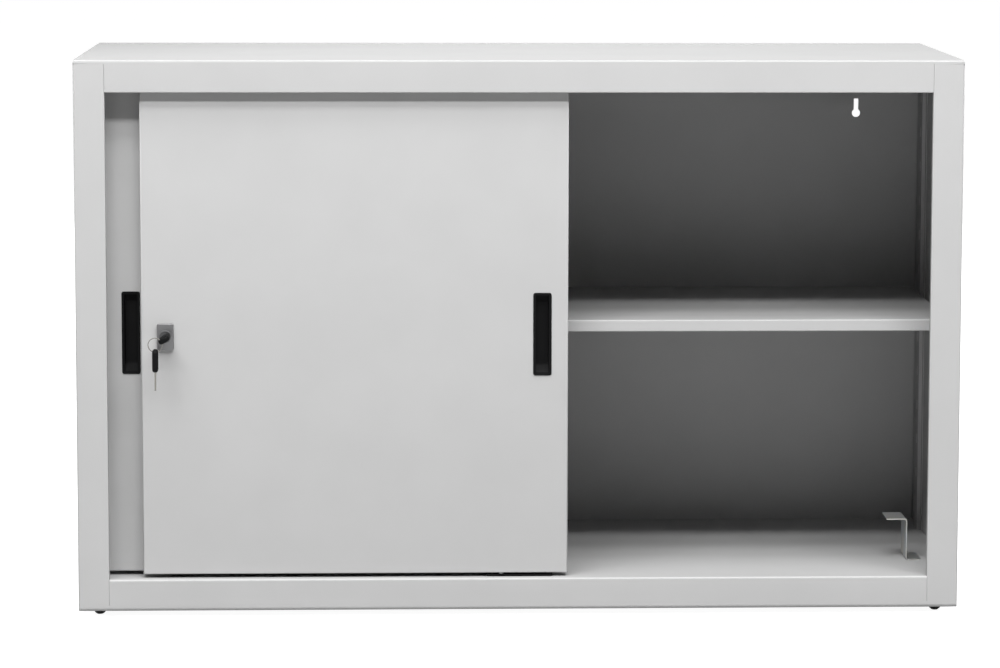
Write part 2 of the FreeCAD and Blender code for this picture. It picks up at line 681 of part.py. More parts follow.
def handle(name, door, left):
    """A recessed pull: a moulded cup with scooped ends, a thin rim on the door's skin and barbs behind it."""
    body = new_body(name, left, door["face"], "handle_base")
    wide, tall = size("handle_wide"), size("handle_tall")

    def cup(inset, front, back, slope):
        """The cup's outline from the side, narrowing by slope from front to back."""
        return [(front, inset), (front, f"handle_tall - ({inset})"),
                (back, f"handle_tall - ({inset}) - {slope}"), (back, f"{inset} + {slope}")]

    prism(body, "rim", "XZ", "-handle_proud", "0", [rectangle("0", "0", "handle_wide", "handle_tall")])
    soften(body, "rim_corners", "handle_corner", *[{"x": x, "z": z} for x in (0, wide) for z in (0, tall)])
    prism(body, "cup", "YZ", "handle_rim", "handle_wide - handle_rim",
          [cup("handle_rim", "0", "handle_deep", "handle_scoop")])
    wall = "(handle_rim + handle_wall)"
    prism(body, "recess", "YZ", wall, f"handle_wide - {wall}",
          [cup(wall, "0", "handle_deep - handle_wall", "handle_scoop")], cut=True)
    prism(body, "mouth", "XZ", "-handle_proud - 1", "0",
          [rectangle(wall, wall, f"handle_wide - {wall}", f"handle_tall - {wall}")], cut=True)
    barb = prism(body, "barb", "XY", "barb_inset", "barb_inset + barb_tall", [
        [(side, "sheet + handle_gap"), (tip, "sheet + handle_gap"), (side, "sheet + handle_gap + barb_long")]
        for side, tip in (("handle_rim", "handle_rim - barb_proud"),
                          ("handle_wide - handle_rim", "handle_wide - handle_rim + barb_proud"))])
    repeat(body, barb, [("Z_Axis", "handle_tall - barb_inset * 2 - barb_tall", "2")])


def hangers(name, door):
    """Two angle plates on the door's upper flange, each holding an axle."""
    body = new_body(name)
    tail = door["tail"]
    outer = f"({door['face']} + hanger_setback)" if tail > 0 else f"({door['face']} + door_thick - hanger_setback)"
    inner = f"({outer} + {tail} * hanger_sheet)"
    toe = f"({outer} - {tail} * hanger_foot)"
    first = f"({door['left']} + hanger_edge)"
    plate = prism(body, "plate", "YZ", f"{first} - hanger_wide / 2", f"{first} + hanger_wide / 2", [[
        (toe, DOOR_TOP), (inner, DOOR_TOP), (inner, f"{AXLE} + hanger_top"), (outer, f"{AXLE} + hanger_top"),
        (outer, f"{DOOR_TOP} + hanger_sheet"), (toe, f"{DOOR_TOP} + hanger_sheet")]])
    ends = (outer, inner) if tail > 0 else (inner, outer)
    hole = prism(body, "axle_hole", "XZ", f"{ends[0]} - 1", f"{ends[1]} + 1",
                 circles=[(first, AXLE, "axle_radius")], cut=True)
    row = body.newObject("PartDesign::LinearPattern", "pair")
    row.Originals = [plate, hole]
    row.Direction = (origin_item(body, "X_Axis"), [""])
    row.setExpression("Length", bound(f"{DOOR_WIDTH} - hanger_edge * 2"))
    row.Occurrences = 2
    body.Tip = row


def roller_far(door):
    """The side of the roller that is nearer the track's web, in Y."""
    return f"({TRACK_MID} - {door['tail']} * (track_sheet / 2 + roller_side_gap))"


def axles(name, door):
    """Riveted axles with a collar that keeps each roller clear of its hanger."""
    tail = door["tail"]
    outer = f"({door['face']} + hanger_setback)" if tail > 0 else f"({door['face']} + door_thick - hanger_setback)"
    body = new_body(name, f"{door['left']} + hanger_edge", "0", AXLE)
    collar = f"{roller_far(door)} - {tail} * (roller_wide + seat_gap)"
    pin_piece = spin(body, "axle", [
        ("0", f"{outer} - {tail} * 1.5"), ("axle_head", f"{outer} - {tail} * 1.5"), ("axle_head", outer),
        ("axle_radius", outer), ("axle_radius", f"{outer} + {tail} * hanger_sheet"),
        ("axle_collar", f"{outer} + {tail} * hanger_sheet"), ("axle_collar", collar), ("axle_radius", collar),
        ("axle_radius", f"{roller_far(door)} + {tail} * roller_side_gap / 2"),
        ("0", f"{roller_far(door)} + {tail} * roller_side_gap / 2")])
    repeat(body, pin_piece, [("X_Axis", f"{DOOR_WIDTH} - hanger_edge * 2", "2")])


def roller(name, door, x):
    """A nylon wheel that runs on the ledge."""
    body = new_body(name, x, "0", AXLE)
    far = roller_far(door)
    near = f"({far} - {door['tail']} * roller_wide)"
    nick = f"{door['tail']} * roller_edge"
    spin(body, "wheel", [
        ("axle_radius + running_gap", near), ("roller_radius - roller_edge", near),
        ("roller_radius", f"{near} + {nick}"), ("roller_radius", f"{far} - {nick}"),
        ("roller_radius - roller_edge", far), ("axle_radius + running_gap", far)])


# lock and keys


def lock_body():
    """The lock's plate and barrel, its nut, the turning cylinder, the cam and the catch on the rear door."""
    housing = new_body("lock_housing", LOCK_X, "door_inset", "lock_height")
    prism(housing, "plate", "XZ", "-plate_thick", "0", [
        rectangle("-plate_wide / 2", "-plate_tall / 2", "plate_wide / 2", "plate_tall / 2")])
    soften(housing, "plate_corners", "plate_corner", *[
        {"x": x * size("plate_wide") / 2, "z": z * size("plate_tall") / 2} for x in (-1, 1) for z in (-1, 1)])
    soften(housing, "plate_edge", "plate_thick / 4", {"y": -size("plate_thick")})
    prism(housing, "barrel", "XZ", "0", "barrel_end", circles=[("0", "0", "barrel_radius")])
    prism(housing, "bore", "XZ", "-plate_thick - 1", "barrel_end + 1",
          circles=[("0", "0", "cylinder_radius + running_gap")], cut=True)

    nut = new_body("lock_nut", LOCK_X, "door_inset", "lock_height")
    prism(nut, "hexagon", "XZ", "sheet", "sheet + nut_thick", [hexagon("0", "0", "nut_radius")],
          [("0", "0", "barrel_radius")])

    turn = FreeCAD.Rotation(FreeCAD.Vector(0, -1, 0), size("key_angle"))
    cylinder = new_body("lock_cylinder", LOCK_X, "door_inset", "lock_height", turn)
    prism(cylinder, "plug", "XZ", "-plate_thick - cylinder_proud", "cylinder_end",
          circles=[("0", "0", "cylinder_radius")])
    slot = ("(blade_wide / 2 + keyway_gap)", "(blade_thick / 2 + keyway_gap)")
    prism(cylinder, "keyway", "XZ", "-plate_thick - cylinder_proud - 1", "blade_root + blade_long - plate_thick * 3", [
        rectangle(f"-{slot[0]}", f"-{slot[1]}", slot[0], slot[1])], cut=True)
    prism(cylinder, "screw_hole", "XZ", "cylinder_end - 3", "cylinder_end + 1",
          circles=[("0", "0", "cam_screw_radius")], cut=True)

    cam = new_body("lock_cam", LOCK_X, "door_inset", "lock_height", turn)
    prism(cam, "arm", "XZ", "cylinder_end", "cylinder_end + cam_thick", [
        rectangle("-cam_wide / 2", "-cam_wide / 2", "cam_reach", "cam_wide / 2")])
    soften(cam, "arm_corners", "cam_wide / 4", *[
        {"x": x, "z": z * size("cam_wide") / 2} for x in (-size("cam_wide") / 2, size("cam_reach")) for z in (-1, 1)])
    prism(cam, "screw_hole", "XZ", "cylinder_end - 1", "cylinder_end + cam_thick + 1",
          circles=[("0", "0", "cam_screw_radius")], cut=True)

    screw = new_body("cam_screw", LOCK_X, "door_inset", "lock_height", turn)
    crown = "(cylinder_end + cam_thick)"
    spin(screw, "screw", [
        ("0", "cylinder_end - 3"), ("cam_screw_radius", "cylinder_end - 3"), ("cam_screw_radius", crown),
        ("cam_screw_head", crown), ("cam_screw_head", f"{crown} + cam_screw_thick / 2"),
        ("cam_screw_head * 0.7", f"{crown} + cam_screw_thick"), ("0", f"{crown} + cam_screw_thick")])

    catch = new_body("lock_catch", f"{REAR_DOOR['left']} + {DOOR_WIDTH}", REAR_DOOR["face"], "lock_height")
    prism(catch, "angle", "XY", "catch_low", "catch_high", [[
        ("-catch_edge", "-catch_reach"), ("-catch_edge", "0"), ("-catch_edge - catch_wide", "0"),
        ("-catch_edge - catch_wide", "-sheet"), ("-catch_edge - catch_thick", "-sheet"),
        ("-catch_edge - catch_thick", "-catch_reach")]])


def key_head(name, long, *placing):
    """A moulded key head in its own frame: the blade leaves at y = 0 and the far end is at -long."""
    body = new_body(name, *placing)
    prism(body, "grip", "XY", "-key_head_thick / 2", "key_head_thick / 2", [
        rectangle("-key_head_wide / 2", f"-{long}", "key_head_wide / 2", "0")])
    soften(body, "grip_corners", "key_head_corner", *[
        {"x": x * size("key_head_wide") / 2, "y": y} for x in (-1, 1) for y in (0, -size(long))])
    soften(body, "grip_edges", "key_head_edge", *[{"z": z * size("key_head_thick") / 2} for z in (-1, 1)])
    return body


def key_blade(name, head_long, *placing):
    """A flat key blade with a round nose and bitting along one edge; its root is held in the head."""
    body = new_body(name, *placing)
    half = "blade_wide / 2"
    cuts = [("0.10", "0.2"), ("0.22", "1.6"), ("0.34", "0.6"), ("0.46", "2.1"), ("0.58", "1.0"), ("0.70", "1.7"),
            ("0.82", "0.4")]
    edge = [(f"{half} - {depth}", f"blade_long * {share}") for share, depth in cuts]
    prism(body, "blade", "XY", "-blade_thick / 2", "blade_thick / 2", [
        [(f"-({half})", "-blade_root"), (half, "-blade_root"), (half, "0")] + edge
        + [(f"{half} - 1.5", "blade_long - 1.2"), ("0", "blade_long"), (f"1.5 - {half}", "blade_long - 1.2")]])
    return body


def keys():
    """The key in the lock, the ring through its head, and the spare key that hangs from the ring."""
    turn = FreeCAD.Rotation(FreeCAD.Vector(0, -1, 0), size("key_angle"))
    seat = "(key_head_long - key_reach)"
    head = key_head("key_head", "key_head_long", LOCK_X, seat, "lock_height", turn)
    pocket = [rectangle("-blade_wide / 2", "-blade_root", "blade_wide / 2", "1")]
    prism(head, "blade_seat", "XY", "-blade_thick / 2", "blade_thick / 2", pocket, cut=True)
    prism(head, "ring_hole", "XY", "-key_head_thick", "key_head_thick", circles=[
        ("-key_hole_side", "key_hole_end - key_head_long", "key_hole_radius")], cut=True)
    key_blade("key_blade", "key_head_long", LOCK_X, seat, "lock_height", turn)

    ring = doc.addObject("Part::Torus", "key_ring")
    ring.Label = "key_ring"
    ring.setExpression("Radius1", bound("ring_radius"))
    ring.setExpression("Radius2", bound("ring_wire"))
    place(ring, RING_X, RING_Y, RING_Z, FreeCAD.Rotation(FreeCAD.Vector(1, 0, 0), 90))
    pieces.append(ring)

    # the spare key's own -y points up, and its flat faces look left and right
    hang = FreeCAD.Rotation(FreeCAD.Vector(0, 1, 0), FreeCAD.Vector(0, 0, -1), FreeCAD.Vector(-1, 0, 0), "YXZ")
    rise = "ring_radius - sqrt(ring_radius ^ 2 - key_head_thick ^ 2 / 4)"
    hole = f"{RING_Z} - ring_radius + {rise} + ring_wire - key_hole_radius + spare_gap"
    drop = f"({hole} + key_hole_end - spare_head_long)"
    spare = key_head("spare_key_head", "spare_head_long", RING_X, RING_Y, drop, hang)
    prism(spare, "blade_seat", "XY", "-blade_thick / 2", "blade_thick / 2", pocket, cut=True)
    prism(spare, "ring_hole", "XY", "-key_head_thick", "key_head_thick",
          circles=[("0", "key_hole_end - spare_head_long", "key_hole_radius")], cut=True)
    key_blade("spare_key_blade", "spare_head_long", RING_X, RING_Y, drop, hang)


side_panel("side_panel_left", -1)
side_panel("side_panel_right", 1)
top_panel()
bottom_panel()
back_panel()
top_stiffener()
for side, hand in ((-1, "left"), (1, "right")):
    upright(f"upright_front_{hand}", side, "upright_front")
    upright(f"upright_rear_{hand}", side, "upright_rear")
shelf()
shelf_clips()
floor_bracket()
top_track()
track_stops()
bottom_guide()
foot_nuts()
for x, hand in (("foot_edge - width / 2", "left"), ("width / 2 - foot_edge", "right")):
    foot(f"front_{hand}", x, "foot_edge")
    foot(f"rear_{hand}", x, "depth - foot_edge")

door_panel("front_door_panel", FRONT_DOOR, HANDLE_FRONT, lock=True)
door_panel("rear_door_panel", REAR_DOOR, HANDLE_REAR)
handle("front_door_handle", FRONT_DOOR, HANDLE_FRONT)
handle("rear_door_handle", REAR_DOOR, HANDLE_REAR)
for label, door in (("front", FRONT_DOOR), ("rear", REAR_DOOR)):
    door_brace(f"{label}_door_brace", door)
    hangers(f"{label}_door_hangers", door)
    axles(f"{label}_door_axles", door)
    roller(f"{label}_roller_left", door, f"{door['left']} + hanger_edge")
    roller(f"{label}_roller_right", door, f"{door['left']} + {DOOR_WIDTH} - hanger_edge")
lock_body()
keys()

doc.recompute()
for item in doc.Objects:
    if "Invalid" in item.State or "Error" in item.State:
        raise SystemExit(f"{item.Label} failed: {item.State}")
os.makedirs("parts", exist_ok=True)
for piece in pieces:
    if piece.Shape.isNull() or not piece.Shape.isValid() or not piece.Shape.Solids:
        raise SystemExit(f"{piece.Label} has no valid solid")
    piece.Shape.exportStep(f"parts/{piece.Label}.step")
    box = piece.Shape.BoundBox
    print(f"{piece.Label:24s} {len(piece.Shape.Solids)} solids {piece.Shape.Volume / 1000:9.2f} cm3",
          f"x {box.XMin:8.2f} {box.XMax:8.2f} y {box.YMin:8.2f} {box.YMax:8.2f} z {box.ZMin:7.2f} {box.ZMax:7.2f}")
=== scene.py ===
"""Sliding door cabinet: the finish and fine pieces of a folded steel sideboard, around its CAD model.

The track, hangers, rollers, lock and key blades come from the CAD nodes. So does the sheet metal, with some
of its folds moved to their finished places. The moulded pulls, key heads, glides, threads, split ring,
rivets, screws and weld marks are made here, each where its CAD node or joint says.
"""

import json
import math
import bmesh
import bpy
from mathutils import Matrix, Vector


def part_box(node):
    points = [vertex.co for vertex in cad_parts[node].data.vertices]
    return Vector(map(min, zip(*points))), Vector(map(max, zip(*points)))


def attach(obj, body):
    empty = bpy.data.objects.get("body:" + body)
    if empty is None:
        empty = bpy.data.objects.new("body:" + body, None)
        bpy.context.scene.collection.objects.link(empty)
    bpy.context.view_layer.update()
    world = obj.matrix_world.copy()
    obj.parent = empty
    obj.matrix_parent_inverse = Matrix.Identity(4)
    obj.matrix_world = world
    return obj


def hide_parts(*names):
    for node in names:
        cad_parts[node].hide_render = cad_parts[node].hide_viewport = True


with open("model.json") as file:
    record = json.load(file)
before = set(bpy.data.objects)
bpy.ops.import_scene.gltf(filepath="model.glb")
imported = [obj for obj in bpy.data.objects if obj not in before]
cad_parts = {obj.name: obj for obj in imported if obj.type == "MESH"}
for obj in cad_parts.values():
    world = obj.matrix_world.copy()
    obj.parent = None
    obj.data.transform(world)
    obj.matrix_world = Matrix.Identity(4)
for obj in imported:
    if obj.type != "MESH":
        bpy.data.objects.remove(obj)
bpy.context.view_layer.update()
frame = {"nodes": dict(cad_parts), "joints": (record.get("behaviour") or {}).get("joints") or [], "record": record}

MM = 0.001

# the view: a long lens in front of the cabinet, a little above it and turned slightly to the right
IMAGE_WIDTH = 1000
IMAGE_HEIGHT = 668
CAMERA_PLACE = (-0.1568, -5.205, 1.0434)
CAMERA_YAW = 2.2007
CAMERA_PITCH = 6.4437
CAMERA_ROLL = 0.1513
FOCAL_PIXELS = 3719.2
AXIS_PIXEL = (546.32, 266.71)
CLIP_END = 100

# the light: long strips high in front and nearly overhead, and low boxes behind for the other sides; each
# is its name, azimuth and elevation in degrees, distance, width and height in metres, and power in watts
LAMPS = (
    ("key_strip", 0, 49, 4.0, 5.5, 0.4, 120),
    ("upper_strip", 0, 62, 4.0, 5.5, 0.6, 98),
    ("overhead_bank", 0, 76, 4.0, 5.5, 0.9, 120),
    ("back_box_right", 122, 14, 5.0, 2.2, 2.2, 150),
    ("back_box_left", -122, 14, 5.0, 2.2, 2.2, 150),
    ("back_box_middle", 180, 12, 5.0, 2.2, 2.2, 120),
)
LAMP_AIM = (0.0, 0.0, 0.38)
SKY_LIGHT = 0.0
FLOOR_COLOUR = "#A8A8A8"
FLOOR_SPAN = 40.0

# the floor's own glow near the cabinet and far from it, and the distances in metres where it changes
FLOOR_GLOW = (0.95, 1.0)
FLOOR_GLOW_REACH = (0.9, 3.2)

# what every piece made here has in common
SHARP_ANGLE = math.radians(32)
ARC_STEPS = 6
QUARTER_TURN = math.radians(90)
SAME_PLACE = 1e-7


# building blocks


def linear(colour):
    """An sRGB hex colour as linear red, green, blue and 1."""
    parts = [int(colour[i:i + 2], 16) / 255 for i in (1, 3, 5)]
    return tuple(p / 12.92 if p <= 0.04045 else ((p + 0.055) / 1.055) ** 2.4 for p in parts) + (1.0,)


def add(tree, kind, inputs=(), **settings):
    """Add a node with its settings; inputs give a socket a value, another node's output, or several."""
    item = tree.nodes.new(kind)
    for key, value in settings.items():
        setattr(item, key, value)
    for key, value in dict(inputs).items():
        for source in value if isinstance(value, list) else [value]:
            if isinstance(source, bpy.types.NodeSocket):
                tree.links.new(source, item.inputs[key])
            else:
                item.inputs[key].default_value = source
    return item


def new_material(name, base, roughness, metallic=0.0, **sockets):
    """A material with one Principled shader; returns its tree, its shader and its Object coordinates too."""
    material = bpy.data.materials.new(name)
    material.use_nodes = True
    tree = material.node_tree
    shader = tree.nodes["Principled BSDF"]
    shader.inputs["Base Color"].default_value = linear(base)
    shader.inputs["Roughness"].default_value = roughness
    shader.inputs["Metallic"].default_value = metallic
    for key, value in sockets.items():
        shader.inputs[key.replace("_", " ")].default_value = value
    return material, tree, shader, add(tree, "ShaderNodeTexCoord").outputs["Object"]


def grain(tree, place, spacing, detail=2.0, roughness=0.5, stretch=None):
    """Noise whose lumps are spacing metres apart; stretch draws it out along X, Y or Z."""
    if stretch:
        place = add(tree, "ShaderNodeMapping", {"Vector": place, "Scale": stretch}).outputs["Vector"]
    noise = add(tree, "ShaderNodeTexNoise",
                {"Vector": place, "Scale": 1 / spacing, "Detail": detail, "Roughness": roughness})
    return noise.outputs["Fac"]


def spread(tree, value, low, high):
    """A noise value, brought from its usual 0.3 to 0.7 to low to high."""
    return add(tree, "ShaderNodeMapRange", {
        "Value": value, "From Min": 0.3, "From Max": 0.7, "To Min": low, "To Max": high}).outputs["Result"]


def tint(tree, value, first, second):
    """A colour between two hex colours."""
    mix = add(tree, "ShaderNodeMix", {"Factor": value}, data_type="RGBA")
    mix.inputs[6].default_value = linear(first)
    mix.inputs[7].default_value = linear(second)
    return mix.outputs[2]


def relief(tree, shader, *layers):
    """Bump layers on top of each other, each a value and its height in metres."""
    normal = None
    for value, height in layers:
        inputs = {"Height": value, "Distance": height, "Strength": 1.0}
        if normal:
            inputs["Normal"] = normal
        normal = add(tree, "ShaderNodeBump", inputs).outputs["Normal"]
    tree.links.new(normal, shader.inputs["Normal"])


# finishes


def powder_coat():
    """Stoved polyester powder coat on rolled steel: satin, with fine orange peel over a faintly wavy sheet.

    Its coat is tinted grey with almost no shine of its own: painted shade that darkens it where it is seen at a
    flat angle, as on the top seen nearly edge-on."""
    # the grey coat tint is painted shade: it darkens surfaces seen at a flat angle, such as the top
    material, tree, shader, place = new_material(
        "light_grey_powder_coat", "#DEDEDE", 0.8, Specular_IOR_Level=0.02, Coat_Weight=1.0,
        Coat_Roughness=0.8, Coat_IOR=1.03, Coat_Tint=linear("#EDEDED"))
    peel = grain(tree, place, 1.6 * MM, detail=3.0)
    sheet = grain(tree, place, 260 * MM, detail=1.0)
    film = grain(tree, place, 90 * MM, detail=2.0)
    relief(tree, shader, (sheet, 0.5 * MM), (peel, 0.05 * MM))
    colour = tint(tree, spread(tree, film, 0.0, 1.0), "#DCDCDC", "#DFDFDF")
    tree.links.new(colour, shader.inputs["Base Color"])
    tree.links.new(spread(tree, film, 0.76, 0.84), shader.inputs["Roughness"])
    return material


def zinc_plate():
    """Zinc plate with a clear passivate on pressed steel: dull silver, streaked along, faintly straw."""
    material, tree, shader, place = new_material("bright_zinc_plate", "#C6C9CB", 0.5, metallic=1.0)
    streak = grain(tree, place, 2.5 * MM, detail=4.0, stretch=(0.08, 1.0, 1.0))
    cloud = grain(tree, place, 24 * MM, detail=2.0)
    colour = tint(tree, spread(tree, cloud, 0.0, 1.0), "#C4C8CC", "#CECCC4")
    tree.links.new(colour, shader.inputs["Base Color"])
    tree.links.new(spread(tree, streak, 0.42, 0.58), shader.inputs["Roughness"])
    relief(tree, shader, (streak, 0.01 * MM))
    return material


def satin_nickel():
    """Nickel plate on a zinc die casting, tumbled: grey, softly bright, with a very fine pitted grain."""
    material, tree, shader, place = new_material("satin_nickel_die_casting", "#717172", 0.34, metallic=1.0)
    pits = grain(tree, place, 0.5 * MM, detail=3.0)
    tree.links.new(spread(tree, pits, 0.28, 0.42), shader.inputs["Roughness"])
    relief(tree, shader, (pits, 0.015 * MM))
    return material


def key_nickel():
    """Nickel plate on stamped brass: brighter and warmer than the casting, brushed along the blade."""
    material, tree, shader, place = new_material("nickel_plated_brass", "#7F7D78", 0.34, metallic=1.0)
    brushed = grain(tree, place, 0.4 * MM, detail=3.0, stretch=(1.0, 0.1, 0.1))
    tree.links.new(spread(tree, brushed, 0.28, 0.42), shader.inputs["Roughness"])
    relief(tree, shader, (brushed, 0.008 * MM))
    return material


def black_plastic():
    """Black ABS moulded in a spark-eroded tool: fine even pitting, with a dull sheen instead of a shine."""
    material, tree, shader, place = new_material(
        "moulded_black_abs", "#0B0B0C", 0.55, Specular_IOR_Level=0.1)
    spark = grain(tree, place, 0.55 * MM, detail=2.0, roughness=0.6)
    flow = grain(tree, place, 35 * MM)
    tree.links.new(spread(tree, flow, 0.5, 0.6), shader.inputs["Roughness"])
    relief(tree, shader, (spark, 0.05 * MM))
    return material


def black_rubber():
    """Moulded nitrile rubber: black, dull, slightly bloomed grey."""
    material, tree, shader, place = new_material("black_nitrile_rubber", "#1B1B1C", 0.72)
    bloom = grain(tree, place, 6 * MM, detail=4.0)
    colour = tint(tree, spread(tree, bloom, 0.0, 1.0), "#17171A", "#252526")
    tree.links.new(colour, shader.inputs["Base Color"])
    relief(tree, shader, (grain(tree, place, 0.8 * MM), 0.04 * MM))
    return material


def natural_nylon():
    """Natural nylon 6, injection moulded: milky, waxy and a little see-through at its edges."""
    material, tree, shader, place = new_material(
        "natural_nylon", "#DAD8CF", 0.38, Subsurface_Weight=0.25, Subsurface_Scale=1.5 * MM)
    relief(tree, shader, (grain(tree, place, 1.2 * MM), 0.02 * MM))
    return material


def seen_directly(tree):
    """1 for rays from the eye, from a gloss and through glass, and 0 for the rays that carry light."""
    path = add(tree, "ShaderNodeLightPath")
    pair = add(tree, "ShaderNodeMath", {0: path.outputs["Is Camera Ray"], 1: path.outputs["Is Glossy Ray"]},
               operation="MAXIMUM")
    return add(tree, "ShaderNodeMath", {0: pair.outputs[0], 1: path.outputs["Is Transmission Ray"]},
               operation="MAXIMUM").outputs[0]


def pale_floor():
    """Matt floor paper with its fibres; its glow to the eye keeps it white right up to the cabinet."""
    material = bpy.data.materials.new("pale_floor_paper")
    material.use_nodes = True
    tree = material.node_tree
    tree.nodes.clear()
    place = add(tree, "ShaderNodeTexCoord").outputs["Object"]
    fibre = grain(tree, place, 3 * MM)
    paper = add(tree, "ShaderNodeBsdfDiffuse", {
        "Color": linear(FLOOR_COLOUR),
        "Normal": add(tree, "ShaderNodeBump", {"Height": fibre, "Distance": 0.02 * MM}).outputs["Normal"]})
    away = add(tree, "ShaderNodeVectorMath", {0: place}, operation="LENGTH").outputs["Value"]
    glow_level = add(tree, "ShaderNodeMapRange", {
        "Value": away, "From Min": FLOOR_GLOW_REACH[0], "From Max": FLOOR_GLOW_REACH[1],
        "To Min": FLOOR_GLOW[0], "To Max": FLOOR_GLOW[1]}, interpolation_type="SMOOTHSTEP").outputs["Result"]
    level = add(tree, "ShaderNodeMath", {0: seen_directly(tree), 1: glow_level}, operation="MULTIPLY")
    glow = add(tree, "ShaderNodeEmission", {"Strength": level.outputs[0]})
    both = add(tree, "ShaderNodeAddShader", {0: paper.outputs[0], 1: glow.outputs[0]})
    add(tree, "ShaderNodeOutputMaterial", {"Surface": both.outputs[0]})
    return material


FINISH = {
    "grey_paint": powder_coat(),
    "zinc_plate": zinc_plate(),
    "lock_metal": satin_nickel(),
    "key_metal": key_nickel(),
    "black_plastic": black_plastic(),
    "black_rubber": black_rubber(),
    "nylon": natural_nylon(),
}


# making pieces


def corner_points(half_wide, half_tall, radius):
    """A rectangle with rounded corners about the middle, anticlockwise."""
    points = []
    for turn, (side, end) in enumerate(((1, 1), (-1, 1), (-1, -1), (1, -1))):
        for step in range(ARC_STEPS + 1):
            angle = QUARTER_TURN * (turn + step / ARC_STEPS)
            points.append((side * (half_wide - radius) + radius * math.cos(angle),
                           end * (half_tall - radius) + radius * math.sin(angle)))
    return points


def loft(rings):
    """A closed skin through rings with as many points each, capped at both ends."""
    mesh = bmesh.new()
    rows = [[mesh.verts.new(point) for point in ring] for ring in rings]
    count = len(rings[0])
    for lower, upper in zip(rows, rows[1:]):
        for i in range(count):
            j = (i + 1) % count
            mesh.faces.new((lower[i], lower[j], upper[j], upper[i]))
    mesh.faces.new(list(reversed(rows[0])))
    mesh.faces.new(rows[-1])
    return mesh


def turned(profile, sides, ripple=None):
    """A turned shape about Z from (radius, height) pairs; ripple, if given, may vary the radius."""
    rings = []
    for radius, height in profile:
        ring = []
        for i in range(sides):
            angle = 2 * math.pi * i / sides
            reach = ripple(angle, radius, height) if ripple else radius
            ring.append((reach * math.cos(angle), reach * math.sin(angle), height))
        rings.append(ring)
    return loft(rings)


def as_mesh(name, shape, place=None):
    """A bmesh as a mesh, put in its place, with its faces outwards and shaded soft up to the sharp angle."""
    bmesh.ops.remove_doubles(shape, verts=shape.verts, dist=SAME_PLACE)
    bmesh.ops.recalc_face_normals(shape, faces=shape.faces)
    mesh = bpy.data.meshes.new(name)
    shape.to_mesh(mesh)
    shape.free()
    if place is not None:
        mesh.transform(place)
    mesh.shade_smooth()
    mesh.set_sharp_from_angle(angle=SHARP_ANGLE)
    return mesh


def add_piece(name, mesh, body, slot, replaces=()):
    """A finished piece on a body, with its finish; it may stand for CAD nodes."""
    item = bpy.data.objects.new(name, mesh)
    bpy.context.scene.collection.objects.link(item)
    if not mesh.materials:
        mesh.materials.append(FINISH[slot])
    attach(item, body)
    if replaces:
        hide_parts(*replaces)
    return item


def settled(item):
    """An object's mesh with its modifiers applied."""
    return bpy.data.meshes.new_from_object(item.evaluated_get(bpy.context.evaluated_depsgraph_get()))


def cut_with(mesh, tool):
    """The mesh less a second one."""
    base = bpy.data.objects.new("cut_base", mesh)
    knife = bpy.data.objects.new("cut_knife", tool)
    for item in (base, knife):
        bpy.context.scene.collection.objects.link(item)
    change = base.modifiers.new("cut", "BOOLEAN")
    change.operation = "DIFFERENCE"
    change.solver = "EXACT"
    change.object = knife
    result = settled(base)
    for item in (base, knife):
        bpy.data.objects.remove(item)
    result.set_sharp_from_angle(angle=SHARP_ANGLE)
    return result


# pieces that repeat or follow a path


def new_tree(name, sizes):
    """A geometry tree with named number inputs; returns it and its input node."""
    tree = bpy.data.node_groups.new(name, "GeometryNodeTree")
    tree.interface.new_socket(name="Geometry", in_out="INPUT", socket_type="NodeSocketGeometry")
    for label, value in sizes.items():
        kind = "NodeSocketInt" if isinstance(value, int) else "NodeSocketFloat"
        tree.interface.new_socket(name=label, in_out="INPUT", socket_type=kind).default_value = value
    tree.interface.new_socket(name="Geometry", in_out="OUTPUT", socket_type="NodeSocketGeometry")
    return tree, add(tree, "NodeGroupInput")


def close_tree(tree, shape, slot):
    """End a tree with real geometry in one finish."""
    real = add(tree, "GeometryNodeRealizeInstances", {"Geometry": shape})
    dressed = add(tree, "GeometryNodeSetMaterial", {"Geometry": real.outputs[0], "Material": FINISH[slot]})
    add(tree, "NodeGroupOutput", {"Geometry": dressed.outputs[0]})


# in shares of a head: the length, width and height of the bars that cut a driver's cross in its crown, the
# height of their middle, and the distance within which its points are joined
CROSS_BAR = (1.15, 0.24, 1.3)
CROSS_MIDDLE = 1.05
HEAD_MERGE = 1e-4


